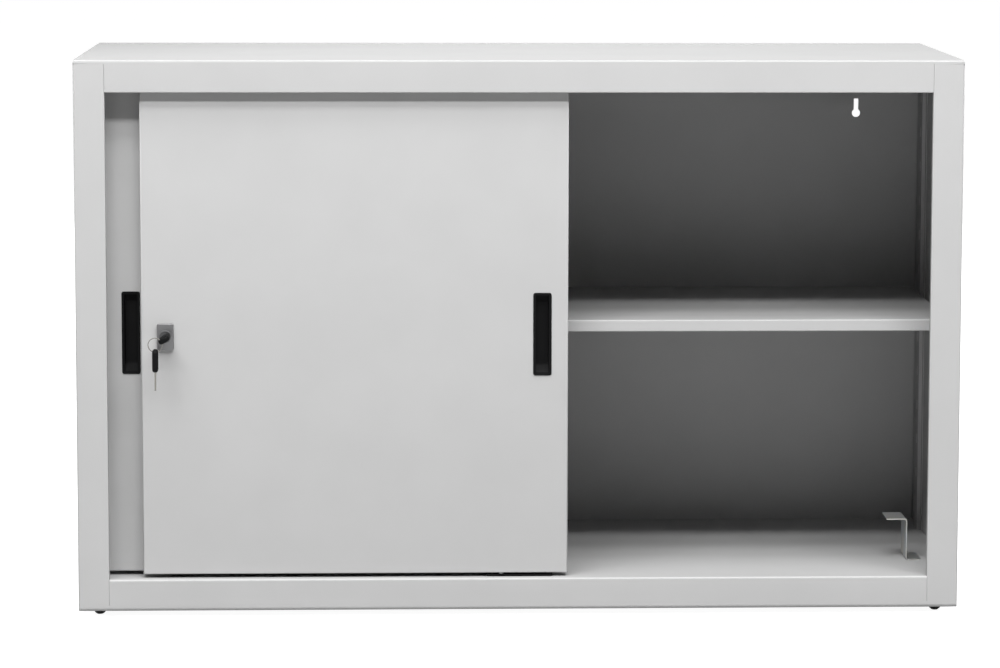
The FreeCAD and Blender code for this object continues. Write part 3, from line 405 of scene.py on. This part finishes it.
def head_tree(name, steps, slot, sides=20, crossed=False):
    """A fastener's head on every point, along the way the point faces.

    steps are shares (radius, height) of the head from its seat to its crown; crossed cuts a cross in it."""
    tree, source = new_tree(name, {"Head radius": 3 * MM, "Head height": 1 * MM})
    disc = add(tree, "GeometryNodeMeshCircle", {"Vertices": sides, "Radius": 1.0}, fill_type="NGON")
    seat = add(tree, "GeometryNodeFlipFaces", {"Mesh": disc.outputs[0]})
    shape, crown = disc.outputs[0], None
    radius, height = 1.0, 0.0
    for share, rise in steps:
        inputs = {"Mesh": shape, "Offset Scale": rise - height, "Individual": False}
        if crown:
            inputs["Selection"] = crown
        risen = add(tree, "GeometryNodeExtrudeMesh", inputs)
        crown = risen.outputs["Top"]
        shape = add(tree, "GeometryNodeScaleElements", {
            "Geometry": risen.outputs["Mesh"], "Selection": crown, "Scale": share / radius}).outputs[0]
        radius, height = share, rise
    closed = add(tree, "GeometryNodeJoinGeometry", {"Geometry": [shape, seat.outputs[0]]})
    shape = add(tree, "GeometryNodeMergeByDistance", {
        "Geometry": closed.outputs[0], "Distance": HEAD_MERGE}).outputs[0]
    if crossed:
        long, wide, tall = CROSS_BAR
        bars = [add(tree, "GeometryNodeMeshCube", {"Size": size}).outputs[0]
                for size in ((long, wide, tall), (wide, long, tall))]
        cross = add(tree, "GeometryNodeMeshBoolean", {"Mesh 2": bars}, operation="UNION", solver="EXACT")
        raised = add(tree, "GeometryNodeTransform", {
            "Geometry": cross.outputs[0], "Translation": (0, 0, CROSS_MIDDLE)})
        shape = add(tree, "GeometryNodeMeshBoolean", {"Mesh 1": shape, "Mesh 2": raised.outputs[0]},
                    operation="DIFFERENCE", solver="EXACT").outputs[0]
    facing = add(tree, "GeometryNodeInputNamedAttribute", {"Name": "facing"}, data_type="FLOAT_VECTOR")
    turn = add(tree, "FunctionNodeAlignRotationToVector", {"Vector": facing.outputs[0]}, axis="Z")
    scale = add(tree, "ShaderNodeCombineXYZ", {
        "X": source.outputs["Head radius"], "Y": source.outputs["Head radius"],
        "Z": source.outputs["Head height"]})
    heads = add(tree, "GeometryNodeInstanceOnPoints", {
        "Points": source.outputs["Geometry"], "Instance": shape, "Rotation": turn.outputs[0],
        "Scale": scale.outputs[0]})
    close_tree(tree, heads.outputs[0], slot)
    return tree


# the steps in each turn of a ring and of a thread, and the soft corners of a ring's flat bar
RING_STEPS = 40
THREAD_STEPS = 24
BAR_CORNER = 0.25 * MM
BAR_CORNER_STEPS = 3
RIDGE_SIDES = 3


def coil_tree(name, slot, flat):
    """Wire wound about Z: a flat bar for a ring, or a ridge for a screw thread."""
    tree, source = new_tree(name, {
        "Coil radius": 5 * MM, "Pitch": 1 * MM, "Turns": 2.0, "Wire wide": 1 * MM, "Wire tall": 1 * MM})
    rise = add(tree, "ShaderNodeMath", {0: source.outputs["Pitch"], 1: source.outputs["Turns"]},
               operation="MULTIPLY")
    line = add(tree, "GeometryNodeCurveSpiral", {
        "Resolution": RING_STEPS if flat else THREAD_STEPS, "Rotations": source.outputs["Turns"],
        "Start Radius": source.outputs["Coil radius"], "End Radius": source.outputs["Coil radius"],
        "Height": rise.outputs[0]})
    if flat:
        bar = add(tree, "GeometryNodeCurvePrimitiveQuadrilateral", {
            "Width": source.outputs["Wire wide"], "Height": source.outputs["Wire tall"]})
        section = add(tree, "GeometryNodeFilletCurve", {
            "Curve": bar.outputs[0], "Radius": BAR_CORNER, "Count": BAR_CORNER_STEPS}, mode="POLY")
    else:
        section = add(tree, "GeometryNodeCurvePrimitiveCircle", {
            "Resolution": RIDGE_SIDES, "Radius": source.outputs["Wire wide"]})
    wire = add(tree, "GeometryNodeCurveToMesh", {
        "Curve": line.outputs[0], "Profile Curve": section.outputs[0], "Fill Caps": True})
    close_tree(tree, wire.outputs[0], slot)
    return tree


def grow(name, tree, body, slot, sizes, spots=(), place=None, replaces=()):
    """Run a tree on spots, pairs of a point and the way it faces, and keep the result as a plain mesh."""
    seed = bpy.data.meshes.new(name)
    seed.from_pydata([point for point, _ in spots], [], [])
    facing = seed.attributes.new("facing", "FLOAT_VECTOR", "POINT")
    for i, (_, way) in enumerate(spots):
        facing.data[i].vector = way
    item = bpy.data.objects.new(f"{name}_seed", seed)
    bpy.context.scene.collection.objects.link(item)
    change = item.modifiers.new("grow", "NODES")
    change.node_group = tree
    for socket in tree.interface.items_tree:
        if socket.in_out == "INPUT" and socket.name in sizes:
            change[socket.identifier] = sizes[socket.name]
    mesh = settled(item)
    item.modifiers.clear()
    bpy.data.objects.remove(item)
    mesh.name = name
    if place is not None:
        mesh.transform(place)
    mesh.shade_smooth()
    mesh.set_sharp_from_angle(angle=SHARP_ANGLE)
    return add_piece(name, mesh, body, slot, replaces)


def row(first, last, count):
    """Points evenly from first to last."""
    first, last = Vector(first), Vector(last)
    return [first.lerp(last, i / (count - 1)) for i in range(count)]


def facing_row(first, last, count, way):
    """Points evenly from first to last, each with the way it faces."""
    return [(point, way) for point in row(first, last, count)]


DOME_RIVET = head_tree("dome_rivet", (
    (1.0, 0.12), (0.96, 0.35), (0.84, 0.62), (0.66, 0.84), (0.42, 0.98), (0.34, 1.0), (0.30, 0.72)),
    "zinc_plate")
PAN_SCREW = head_tree("pan_screw", (
    (1.0, 0.45), (0.97, 0.66), (0.88, 0.84), (0.72, 0.95), (0.5, 1.0)),
    "zinc_plate", sides=24, crossed=True)
WELD_MARK = head_tree("weld_mark", (
    (0.9, 0.8), (0.8, 1.0), (0.68, 0.8), (0.45, 0.25), (0.2, 0.1)), "grey_paint", sides=16)
SPLIT_RING = coil_tree("split_ring_wire", "key_metal", flat=True)
THREAD = coil_tree("stud_thread", "zinc_plate", flat=False)
LOCK_THREAD = coil_tree("barrel_thread", "lock_metal", flat=False)


# the sheet metal: CAD nodes whose folds are moved to their finished places; this section is in mm


# where the CAD has its folds; a bend reaches so far from its edge, and a plain edge lies within a hair
CABINET_WIDE = 1200
POST_WIDE = 40
TOP_RAIL = 42
SILL_HIGH = 40
SILL_DEEP = 76
FLOOR_HIGH = 34
SHEET = 1
BEND = 3
TOP_BEND = 4
RAIL_BEND = 2
HAIR = 0.1
FLOOR_HAIR = 0.5
GUIDE_BASE = 3
BRACKET_TOE = 12
BRACKET_HEAD = (55, 71)
BRACKET_PAST_END = 90

# how far they move, up, back or to the right, and the tighter bend of the top's front edge
POST_GROWTH = 2
RAIL_DROP = -1.5
SILL_RISE = 3.5
SILL_CUT = -13
FLOOR_RISE = 8.5
DOOR_FOOT_DROP = -1.2
BRACKET_SHIFT = -2
BRACKET_HEAD_DROP = -2.5
FINISHED_TOP_BEND = 2


def moved(axis, start, end, by):
    """A fold between start and end on an axis, from the node's low corner, that moves and keeps its form."""
    return axis, start, end, start + by, end + by


def moved_edge(axis, place, by, hair=HAIR):
    """A plain edge that moves."""
    return moved(axis, place - hair, place + hair, by)


# the foot of the side panels' rear flanges, the doors' lower flanges, and the bracket's depth, which is
# drawn out to the front
FLANGE_FOOT = moved_edge("z", FLOOR_HIGH, FLOOR_RISE)
DOOR_FOOT = moved("z", -SHEET, BEND, DOOR_FOOT_DROP)
BRACKET_DRAWN_OUT = ("y", -SHEET, 37, -31, 23)

# for each node its body, its finish, and its folds: an axis, a stretch along it from the node's low corner,
# and the stretch that it becomes
FOLDED = {
    "side_panel_left": ("cabinet", "grey_paint", (
        moved("x", POST_WIDE - BEND, POST_WIDE + SHEET, POST_GROWTH), FLANGE_FOOT)),
    "side_panel_right": ("cabinet", "grey_paint", (moved("x", -SHEET, BEND, -POST_GROWTH), FLANGE_FOOT)),
    "back_panel": ("cabinet", "grey_paint", (moved_edge("z", 0, FLOOR_RISE, SHEET),)),
    "top_panel": ("cabinet", "grey_paint", (
        moved_edge("x", POST_WIDE, POST_GROWTH),
        moved_edge("x", CABINET_WIDE - POST_WIDE, -POST_GROWTH),
        ("y", 0, TOP_BEND, 0, FINISHED_TOP_BEND),
        moved("z", -SHEET, RAIL_BEND, RAIL_DROP),
        ("z", TOP_RAIL - TOP_BEND, TOP_RAIL, TOP_RAIL - FINISHED_TOP_BEND, TOP_RAIL))),
    "bottom_panel": ("cabinet", "grey_paint", (
        moved_edge("x", POST_WIDE - SHEET, POST_GROWTH),
        moved_edge("x", CABINET_WIDE - SHEET - POST_WIDE, -POST_GROWTH),
        moved("z", SILL_HIGH - BEND, SILL_HIGH + HAIR, SILL_RISE),
        moved("z", FLOOR_HIGH - SHEET - FLOOR_HAIR, FLOOR_HIGH + FLOOR_HAIR, FLOOR_RISE),
        moved("y", SILL_DEEP - BEND - HAIR, SILL_DEEP + HAIR, SILL_CUT))),
    "bottom_guide": ("cabinet", "black_plastic", (moved("z", -SHEET, GUIDE_BASE + HAIR, SILL_RISE),)),
    "floor_bracket": ("cabinet", "zinc_plate", (
        moved("x", -SHEET, BRACKET_PAST_END, BRACKET_SHIFT), BRACKET_DRAWN_OUT,
        moved("z", -SHEET, BRACKET_TOE, FLOOR_RISE), moved("z", *BRACKET_HEAD, BRACKET_HEAD_DROP))),
    "front_door_panel": ("front_door", "grey_paint", (DOOR_FOOT,)),
    "rear_door_panel": ("rear_door", "grey_paint", (DOOR_FOOT,)),
}


def refold(node, body, slot, folds):
    """A CAD node's own mesh with its folds moved, as a piece that stands for the node."""
    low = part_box(node)[0]
    shape = bmesh.new()
    shape.from_mesh(frame["nodes"][node].data)
    for axis, start, end, new_start, new_end in folds:
        index = "xyz".index(axis)
        for vert in shape.verts:
            along = (vert.co[index] - low[index]) / MM
            if start <= along <= end:
                share = (along - start) / (end - start)
                vert.co[index] = low[index] + (new_start + (new_end - new_start) * share) * MM
    return add_piece(f"{node}_folded", as_mesh(f"{node}_folded", shape), body, slot, [node])


for name, (body, slot, folds) in FOLDED.items():
    refold(name, body, slot, folds)


# the pulls


PULL_RIM = 1 * MM
PULL_DEEP = 13 * MM
PULL_WALL = 1.6 * MM
PULL_EDGE = 2 * MM
PULL_SCOOP = 14 * MM
PULL_DRAFT = 0.5 * MM
PULL_FILLET = 1.2 * MM
PULL_SHOULDER = 0.4 * MM
PULL_BACK_CORNER = 1.5 * MM
PULL_BODY_CORNER = 2 * MM
PULL_CUP_CORNER = 1.3 * MM
PULL_FLOOR_CORNER = 0.8 * MM
PULL_SCOOP_STEPS = (0.15, 0.35, 0.6, 0.8, 0.93, 1.0)
PULL_END_EASE = 0.8
PULL_FLOOR_EASE = 0.9

# the rim's soft edges in mm: how far in, the corner's radius, and how far proud of the skin
PULL_OUTER_EDGE = ((0, 3, 0), (0, 3, 0.45), (0.12, 2.9, 0.75), (0.4, 2.7, 0.95), (0.8, 2.4, 1.0))
PULL_INNER_EDGE = ((0.9, 1.6, 1.0), (0.35, 1.5, 0.8), (0, 1.4, 0.3))


def pull(name, node, body):
    """A moulded cup: a soft-edged rim on the skin, straight sides with a little draft and scooped ends."""
    low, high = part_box(node)
    middle = (low + high) / 2
    half_wide = (high.x - low.x) / 2
    half_tall = (high.z - low.z) / 2
    face = low.y + PULL_RIM
    floor = PULL_DEEP - PULL_WALL

    def ring(side, end, radius, depth):
        """A rounded outline that lies so far in from the pull's sides and ends."""
        points = corner_points(half_wide - side, half_tall - end, radius)
        return [(middle.x + x, face + depth, middle.z + z) for x, z in points]

    mouth = PULL_EDGE + PULL_WALL
    rings = [ring(PULL_EDGE, PULL_EDGE + PULL_SCOOP, PULL_BACK_CORNER, PULL_DEEP),
             ring(PULL_EDGE, PULL_EDGE + PULL_SHOULDER, PULL_BODY_CORNER, PULL_SHOULDER),
             ring(PULL_EDGE, PULL_EDGE, PULL_BODY_CORNER, 0)]
    for inset, radius, rise in PULL_OUTER_EDGE:
        rings.append(ring(inset * MM, inset * MM, radius * MM, -rise * MM))
    for inset, radius, rise in PULL_INNER_EDGE:
        rings.append(ring(mouth - inset * MM, mouth - inset * MM, radius * MM, -rise * MM))
    for share in PULL_SCOOP_STEPS:
        side = mouth + PULL_DRAFT * share
        end = mouth + PULL_SCOOP * (1 - math.cos(share * QUARTER_TURN)) ** PULL_END_EASE
        depth = floor * math.sin(share * QUARTER_TURN) ** PULL_FLOOR_EASE
        rings.append(ring(side, end, PULL_CUP_CORNER, depth))
    rings.append(ring(mouth + PULL_FILLET, mouth + PULL_SCOOP + PULL_FILLET, PULL_FLOOR_CORNER, floor))
    return add_piece(name, as_mesh(name, loft(rings)), body, "black_plastic", [node])


pull("front_pull", "front_door_handle", "front_door")
pull("rear_pull", "rear_door_handle", "rear_door")


# the lock and its keys


KEY_TURN = math.radians(30)
KEY_HALF_WIDE = 7.8 * MM
KEY_HALF_THICK = 3.9 * MM
KEY_CORNER = 5.6 * MM
KEY_HANGS = Matrix(((0, 0, -1, 0), (1, 0, 0, 0), (0, -1, 0, 0), (0, 0, 0, 1)))
HOLE_RADIUS = 2.3 * MM
HOLE_SIDES = 32
HOLE_END = 4.5 * MM
HOLE_SIDE = 4 * MM

# a key head's face in mm: how far in from its edge, and how far from its middle plane
KEY_FACE = (
    (4.9, 3.45), (4.5, 3.52), (4.2, 3.8), (3.7, 3.9), (3.0, 3.86), (2.2, 3.7), (1.4, 3.35), (0.8, 2.85),
    (0.35, 2.2), (0.1, 1.5), (0.0, 0.8))

# the split ring's wire and its winding, in shares of half the ring's thickness, and its turns
WIRE_WIDE = 1.3
WIRE_TALL = 0.8
WIRE_PITCH = 0.84
WIRE_START = 0.83
RING_TURNS = 1.97

# the collar's section as radius and height in mm, and the hole that it leaves for the cylinder
COLLAR = ((6.65, 0.0), (9.3, 0.0), (9.3, 0.35), (9.1, 0.6), (8.7, 0.7), (7.2, 0.7), (6.8, 0.6), (6.65, 0.4))
COLLAR_BORE = 6.55 * MM
COLLAR_BORE_REACH = 5 * MM
COLLAR_SIDES = 48
BARREL_RADIUS = 9 * MM
BARREL_PITCH = 1 * MM
BARREL_RIDGE = 0.5 * MM


def joint_point(name):
    """Where a joint turns."""
    return Vector(next(joint["pos_m"] for joint in frame["joints"] if joint["name"] == name))


def key_grip(name, node, body, long, hole, place):
    """A moulded key head: pillow faces with a sunk panel, and a hole for the ring."""
    half_long = long / 2
    rings = []
    for sign in (-1, 1):
        for inset, height in KEY_FACE if sign < 0 else reversed(KEY_FACE):
            inset *= MM
            points = corner_points(KEY_HALF_WIDE - inset, half_long - inset, KEY_CORNER - inset)
            rings.append([(x, y - half_long, sign * height * MM) for x, y in points])
    drill = turned([(HOLE_RADIUS, -KEY_HALF_THICK * 2), (HOLE_RADIUS, KEY_HALF_THICK * 2)], HOLE_SIDES)
    spot = Matrix.Translation((hole, HOLE_END - long, 0))
    mesh = cut_with(as_mesh(name, loft(rings)), as_mesh("key_drill", drill, spot))
    mesh.transform(place)
    return add_piece(name, mesh, body, "black_plastic", [node])


def key_pieces():
    """Both key heads and the ring that joins them."""
    lock = joint_point("lock_turn")
    low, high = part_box("key_head")
    turn = Matrix.Rotation(KEY_TURN, 4, (0, -1, 0))
    key_grip("key_grip", "key_head", "key", high.y - low.y, -HOLE_SIDE,
             Matrix.Translation((lock.x, high.y, lock.z)) @ turn)
    low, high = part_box("spare_key_head")
    middle = (low + high) / 2
    key_grip("spare_key_grip", "spare_key_head", "spare_key", high.z - low.z, 0.0,
             Matrix.Translation((middle.x, middle.y, low.z)) @ KEY_HANGS)
    low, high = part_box("key_ring")
    middle = (low + high) / 2
    bar = (high.y - low.y) / 2
    sizes = {"Coil radius": (high.z - low.z) / 2 - bar, "Pitch": bar * WIRE_PITCH, "Turns": RING_TURNS,
             "Wire wide": bar * WIRE_WIDE, "Wire tall": bar * WIRE_TALL}
    place = Matrix.Translation(middle) @ Matrix.Rotation(QUARTER_TURN, 4, "X")
    place = place @ Matrix.Translation((0, 0, -bar * WIRE_START))
    grow("split_ring", SPLIT_RING, "ring", "key_metal", sizes, place=place, replaces=["key_ring"])


def lock_trim():
    """A raised collar round the turning cylinder, and the thread that the lock's nut runs on."""
    lock = joint_point("lock_turn")
    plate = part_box("lock_housing")
    to_front = Matrix.Rotation(QUARTER_TURN, 4, "X")
    face = Matrix.Translation((lock.x, plate[0].y, lock.z)) @ to_front
    collar = as_mesh("lock_collar", turned([(r * MM, h * MM) for r, h in COLLAR], COLLAR_SIDES), face)
    drill = turned([(COLLAR_BORE, -COLLAR_BORE_REACH), (COLLAR_BORE, COLLAR_BORE_REACH)], COLLAR_SIDES)
    bore = as_mesh("collar_bore", drill, face)
    add_piece("lock_collar", cut_with(collar, bore), "front_door", "lock_metal")
    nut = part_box("lock_nut")
    long = plate[1].y - nut[1].y
    sizes = {"Coil radius": BARREL_RADIUS, "Pitch": BARREL_PITCH, "Turns": long / BARREL_PITCH - 1,
             "Wire wide": BARREL_RIDGE}
    place = Matrix.Translation((lock.x, plate[1].y - BARREL_RIDGE, lock.z)) @ to_front
    grow("barrel_thread", LOCK_THREAD, "front_door", "lock_metal", sizes, place=place)


key_pieces()
lock_trim()


# feet


GLIDE_SIDES = 96
GLIDE_RIBS = 16
RIB_DEEP = 0.45 * MM
RIB_LOW = -5.4 * MM
RIB_HIGH = -0.6 * MM
RIB_CORE = 6.5 * MM

# a glide's section as radius and height in mm, from the middle of its sole to the middle of its top
GLIDE = (
    (0.01, -7.7), (3.6, -8.0), (4.2, -7.9), (4.6, -7.6), (6.8, -5.9), (7.2, -5.4), (7.6, -4.6), (8.0, -3.8),
    (8.0, -1.6), (7.9, -1.0), (7.6, -0.6), (7.1, -0.35), (4.4, -0.3), (0.01, -0.3))

STUD_THREAD = {"Coil radius": 3.7 * MM, "Pitch": 1.25 * MM, "Turns": 21.0, "Wire wide": 0.62 * MM}
STUD_LEAD = 0.7 * MM


def fluted(angle, radius, height):
    """Grip ribs round the widest part of a glide, so that it can be turned by hand."""
    depth = RIB_DEEP if RIB_LOW < height < RIB_HIGH and radius > RIB_CORE else 0
    return radius - depth * (0.5 - 0.5 * math.cos(angle * GLIDE_RIBS)) ** 3


def feet():
    """Fluted glides, and threads on their studs."""
    for end in ("front", "rear"):
        for side in ("left", "right"):
            name = f"{end}_{side}"
            place = Matrix.Translation(joint_point(f"foot_{name}_turn"))
            sole = turned([(r * MM, h * MM) for r, h in GLIDE], GLIDE_SIDES, fluted)
            mesh = as_mesh(f"glide_{name}", sole, place)
            add_piece(f"glide_{name}", mesh, f"foot_{name}", "black_plastic", [f"foot_glide_{name}"])
            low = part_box(f"foot_stud_{name}")[0]
            start = Matrix.Translation((0, 0, low.z - place.translation.z + STUD_LEAD))
            grow(f"stud_thread_{name}", THREAD, f"foot_{name}", "zinc_plate", STUD_THREAD,
                 place=place @ start)


feet()


# rivets, screws and weld marks


def head(radius, height):
    """A fastener's head, from its radius and height in mm."""
    return {"Head radius": radius * MM, "Head height": height * MM}


HANGER_RIVET = head(2.5, 1.0)
HANGER_HALF_WIDE = 15 * MM
HANGER_RIVET_APART = 9 * MM
HANGER_TOE = 2.9 * MM
HANGER_SHEET = 2 * MM

TRACK_RIVET = head(3.2, 1.2)
TRACK_RIVETS = 9
TRACK_RIVET_END = 40 * MM
TRACK_RIVET_EDGE = 11 * MM
TRACK_SHEET = 1.5 * MM

GUIDE_SCREW = head(3.6, 2.0)
GUIDE_SCREW_END = 20 * MM
GUIDE_SCREW_EDGE = 8 * MM
GUIDE_BASE_TOP = 6.5 * MM

CATCH_RIVET = head(1.9, 0.7)
CATCH_RIVET_LEFT = 4 * MM
CATCH_RIVET_RIGHT = 6 * MM
CATCH_SHEET = 1 * MM

WELD = head(3.2, 0.14)
WELDS_UP = 6
BACK_WELD_EDGE = 8 * MM
BACK_WELD_LOW = 75 * MM
BACK_WELD_HIGH = 720 * MM
BACK_WELD_TOP = 7 * MM
BACK_WELD_REACH = 520 * MM
BACK_WELDS = 8
UPRIGHT_SHEET = 1 * MM
UPRIGHT_WELD_EDGE = 4.5 * MM
UPRIGHT_WELD_END = 30 * MM
STIFFENER_SHEET = 1 * MM
STIFFENER_WELD_EDGE = 6 * MM
STIFFENER_WELD_END = 40 * MM
STIFFENER_WELDS = 10


def hanger_rivets(door):
    """Two rivets through each hanger's toe into the door's upper flange."""
    low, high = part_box(f"{door}_door_hangers")
    toe = low.y + HANGER_TOE if door == "front" else high.y - HANGER_TOE
    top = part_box(f"{door}_door_panel")[1].z + HANGER_SHEET
    spots = []
    for middle in (low.x + HANGER_HALF_WIDE, high.x - HANGER_HALF_WIDE):
        spots += facing_row((middle - HANGER_RIVET_APART, toe, top), (middle + HANGER_RIVET_APART, toe, top),
                            2, (0, 0, 1))
    grow(f"{door}_hanger_rivets", DOME_RIVET, f"{door}_door", "zinc_plate", HANGER_RIVET, spots)


def cabinet_fasteners():
    """Rivets under the track's flange, and two screws in the lower guide."""
    low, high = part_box("top_track")
    under = high.z - TRACK_SHEET
    line = high.y - TRACK_RIVET_EDGE
    spots = facing_row((low.x + TRACK_RIVET_END, line, under), (high.x - TRACK_RIVET_END, line, under),
                       TRACK_RIVETS, (0, 0, -1))
    grow("track_rivets", DOME_RIVET, "cabinet", "zinc_plate", TRACK_RIVET, spots)
    low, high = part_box("bottom_guide")
    top = low.z + GUIDE_BASE_TOP
    spots = [((low.x + GUIDE_SCREW_END, low.y + GUIDE_SCREW_EDGE, top), (0, 0, 1)),
             ((high.x - GUIDE_SCREW_END, high.y - GUIDE_SCREW_EDGE, top), (0, 0, 1))]
    grow("guide_screws", PAN_SCREW, "cabinet", "zinc_plate", GUIDE_SCREW, spots)


def catch_rivets():
    """Two small rivets through the catch into the rear door."""
    low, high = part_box("lock_catch")
    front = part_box("rear_door_panel")[0].y - CATCH_SHEET
    middle = (low.z + high.z) / 2
    spots = facing_row((low.x + CATCH_RIVET_LEFT, front, middle),
                       (high.x - CATCH_RIVET_RIGHT, front, middle), 2, (0, -1, 0))
    grow("catch_rivets", DOME_RIVET, "rear_door", "zinc_plate", CATCH_RIVET, spots)


def side_welds(side, back):
    """On one side of the cabinet, -1 left or 1 right: the back panel's edge and the uprights' flanges."""
    edge = side * (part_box("side_panel_right")[1].x - BACK_WELD_EDGE)
    spots = facing_row((edge, back, BACK_WELD_LOW), (edge, back, BACK_WELD_HIGH), WELDS_UP, (0, -1, 0))
    flange = side * (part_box("upright_front_right")[1].x - UPRIGHT_SHEET)
    for place in ("front", "rear"):
        low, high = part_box(f"upright_{place}_right")
        for along in (low.y + UPRIGHT_WELD_EDGE, high.y - UPRIGHT_WELD_EDGE):
            spots += facing_row((flange, along, low.z + UPRIGHT_WELD_END),
                                (flange, along, high.z - UPRIGHT_WELD_END), WELDS_UP, (-side, 0, 0))
    return spots


def weld_marks():
    """Rows of spot welds inside: the back panel's edges, the uprights' flanges and the stiffener's."""
    low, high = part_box("back_panel")
    spots = side_welds(-1, low.y) + side_welds(1, low.y)
    top = high.z - BACK_WELD_TOP
    spots += facing_row((-BACK_WELD_REACH, low.y, top), (BACK_WELD_REACH, low.y, top),
                        BACK_WELDS, (0, -1, 0))
    low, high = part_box("top_stiffener")
    under = high.z - STIFFENER_SHEET
    for along in (low.y + STIFFENER_WELD_EDGE, high.y - STIFFENER_WELD_EDGE):
        spots += facing_row((low.x + STIFFENER_WELD_END, along, under),
                            (high.x - STIFFENER_WELD_END, along, under), STIFFENER_WELDS, (0, 0, -1))
    grow("weld_marks", WELD_MARK, "cabinet", "grey_paint", WELD, spots)


for door in ("front", "rear"):
    hanger_rivets(door)
cabinet_fasteners()
catch_rivets()
weld_marks()


# finishes on the CAD nodes, the stage, the lights and the camera


def dress_nodes():
    """Give each CAD node that still shows the finish of its slot."""
    for part in frame["record"]["subparts"]:
        item = frame["nodes"][part["node"]]
        for slot in item.material_slots:
            slot.material = FINISH[part["material_slot"]]


def add_stage():
    """A wide pale floor, and a sky that is white to the eye and gives no light."""
    half = FLOOR_SPAN / 2
    corners = [(-half, -half, 0), (half, -half, 0), (half, half, 0), (-half, half, 0)]
    mesh = bpy.data.meshes.new("studio_floor")
    mesh.from_pydata(corners, [], [(0, 1, 2, 3)])
    mesh.materials.append(pale_floor())
    floor = bpy.data.objects.new("studio_floor", mesh)
    bpy.context.scene.collection.objects.link(floor)
    world = bpy.data.worlds.new("studio_sky")
    world.use_nodes = True
    tree = world.node_tree
    tree.nodes.clear()
    dark = add(tree, "ShaderNodeBackground", {"Color": (1, 1, 1, 1), "Strength": SKY_LIGHT})
    white = add(tree, "ShaderNodeBackground", {"Color": (1, 1, 1, 1), "Strength": 1.0})
    both = add(tree, "ShaderNodeMixShader", {
        0: seen_directly(tree), 1: dark.outputs[0], 2: white.outputs[0]})
    add(tree, "ShaderNodeOutputWorld", {"Surface": both.outputs[0]})
    bpy.context.scene.world = world


def add_lamp(name, azimuth, elevation, distance, wide, tall, power):
    """A soft box aimed at the cabinet; azimuth 0 is in front of it and 90 to its right."""
    lamp = bpy.data.lights.new(name, "AREA")
    lamp.shape = "RECTANGLE"
    lamp.size = wide
    lamp.size_y = tall
    lamp.energy = power
    item = bpy.data.objects.new(name, lamp)
    bpy.context.scene.collection.objects.link(item)
    side, up = math.radians(azimuth), math.radians(elevation)
    way = Vector((math.sin(side) * math.cos(up), -math.cos(side) * math.cos(up), math.sin(up)))
    item.location = Vector(LAMP_AIM) + way * distance
    item.rotation_mode = "QUATERNION"
    item.rotation_quaternion = way.to_track_quat("Z", "Y")


def add_camera():
    """A long lens whose axis is off the picture's middle, as after a crop."""
    data = bpy.data.cameras.new("camera")
    data.sensor_fit = "HORIZONTAL"
    data.lens = FOCAL_PIXELS / IMAGE_WIDTH * data.sensor_width
    data.shift_x = (IMAGE_WIDTH / 2 - AXIS_PIXEL[0]) / IMAGE_WIDTH
    data.shift_y = (AXIS_PIXEL[1] - IMAGE_HEIGHT / 2) / IMAGE_WIDTH
    data.clip_end = CLIP_END
    camera = bpy.data.objects.new("camera", data)
    bpy.context.scene.collection.objects.link(camera)
    turn = Matrix.Rotation(math.radians(-CAMERA_YAW), 4, "Z")
    turn = turn @ Matrix.Rotation(math.radians(90 - CAMERA_PITCH), 4, "X")
    turn = turn @ Matrix.Rotation(math.radians(CAMERA_ROLL), 4, "Z")
    camera.matrix_world = Matrix.Translation(CAMERA_PLACE) @ turn
    bpy.context.scene.camera = camera


dress_nodes()
add_stage()
for lamp in LAMPS:
    add_lamp(*lamp)
add_camera()
bpy.context.scene.view_settings.view_transform = "Standard"
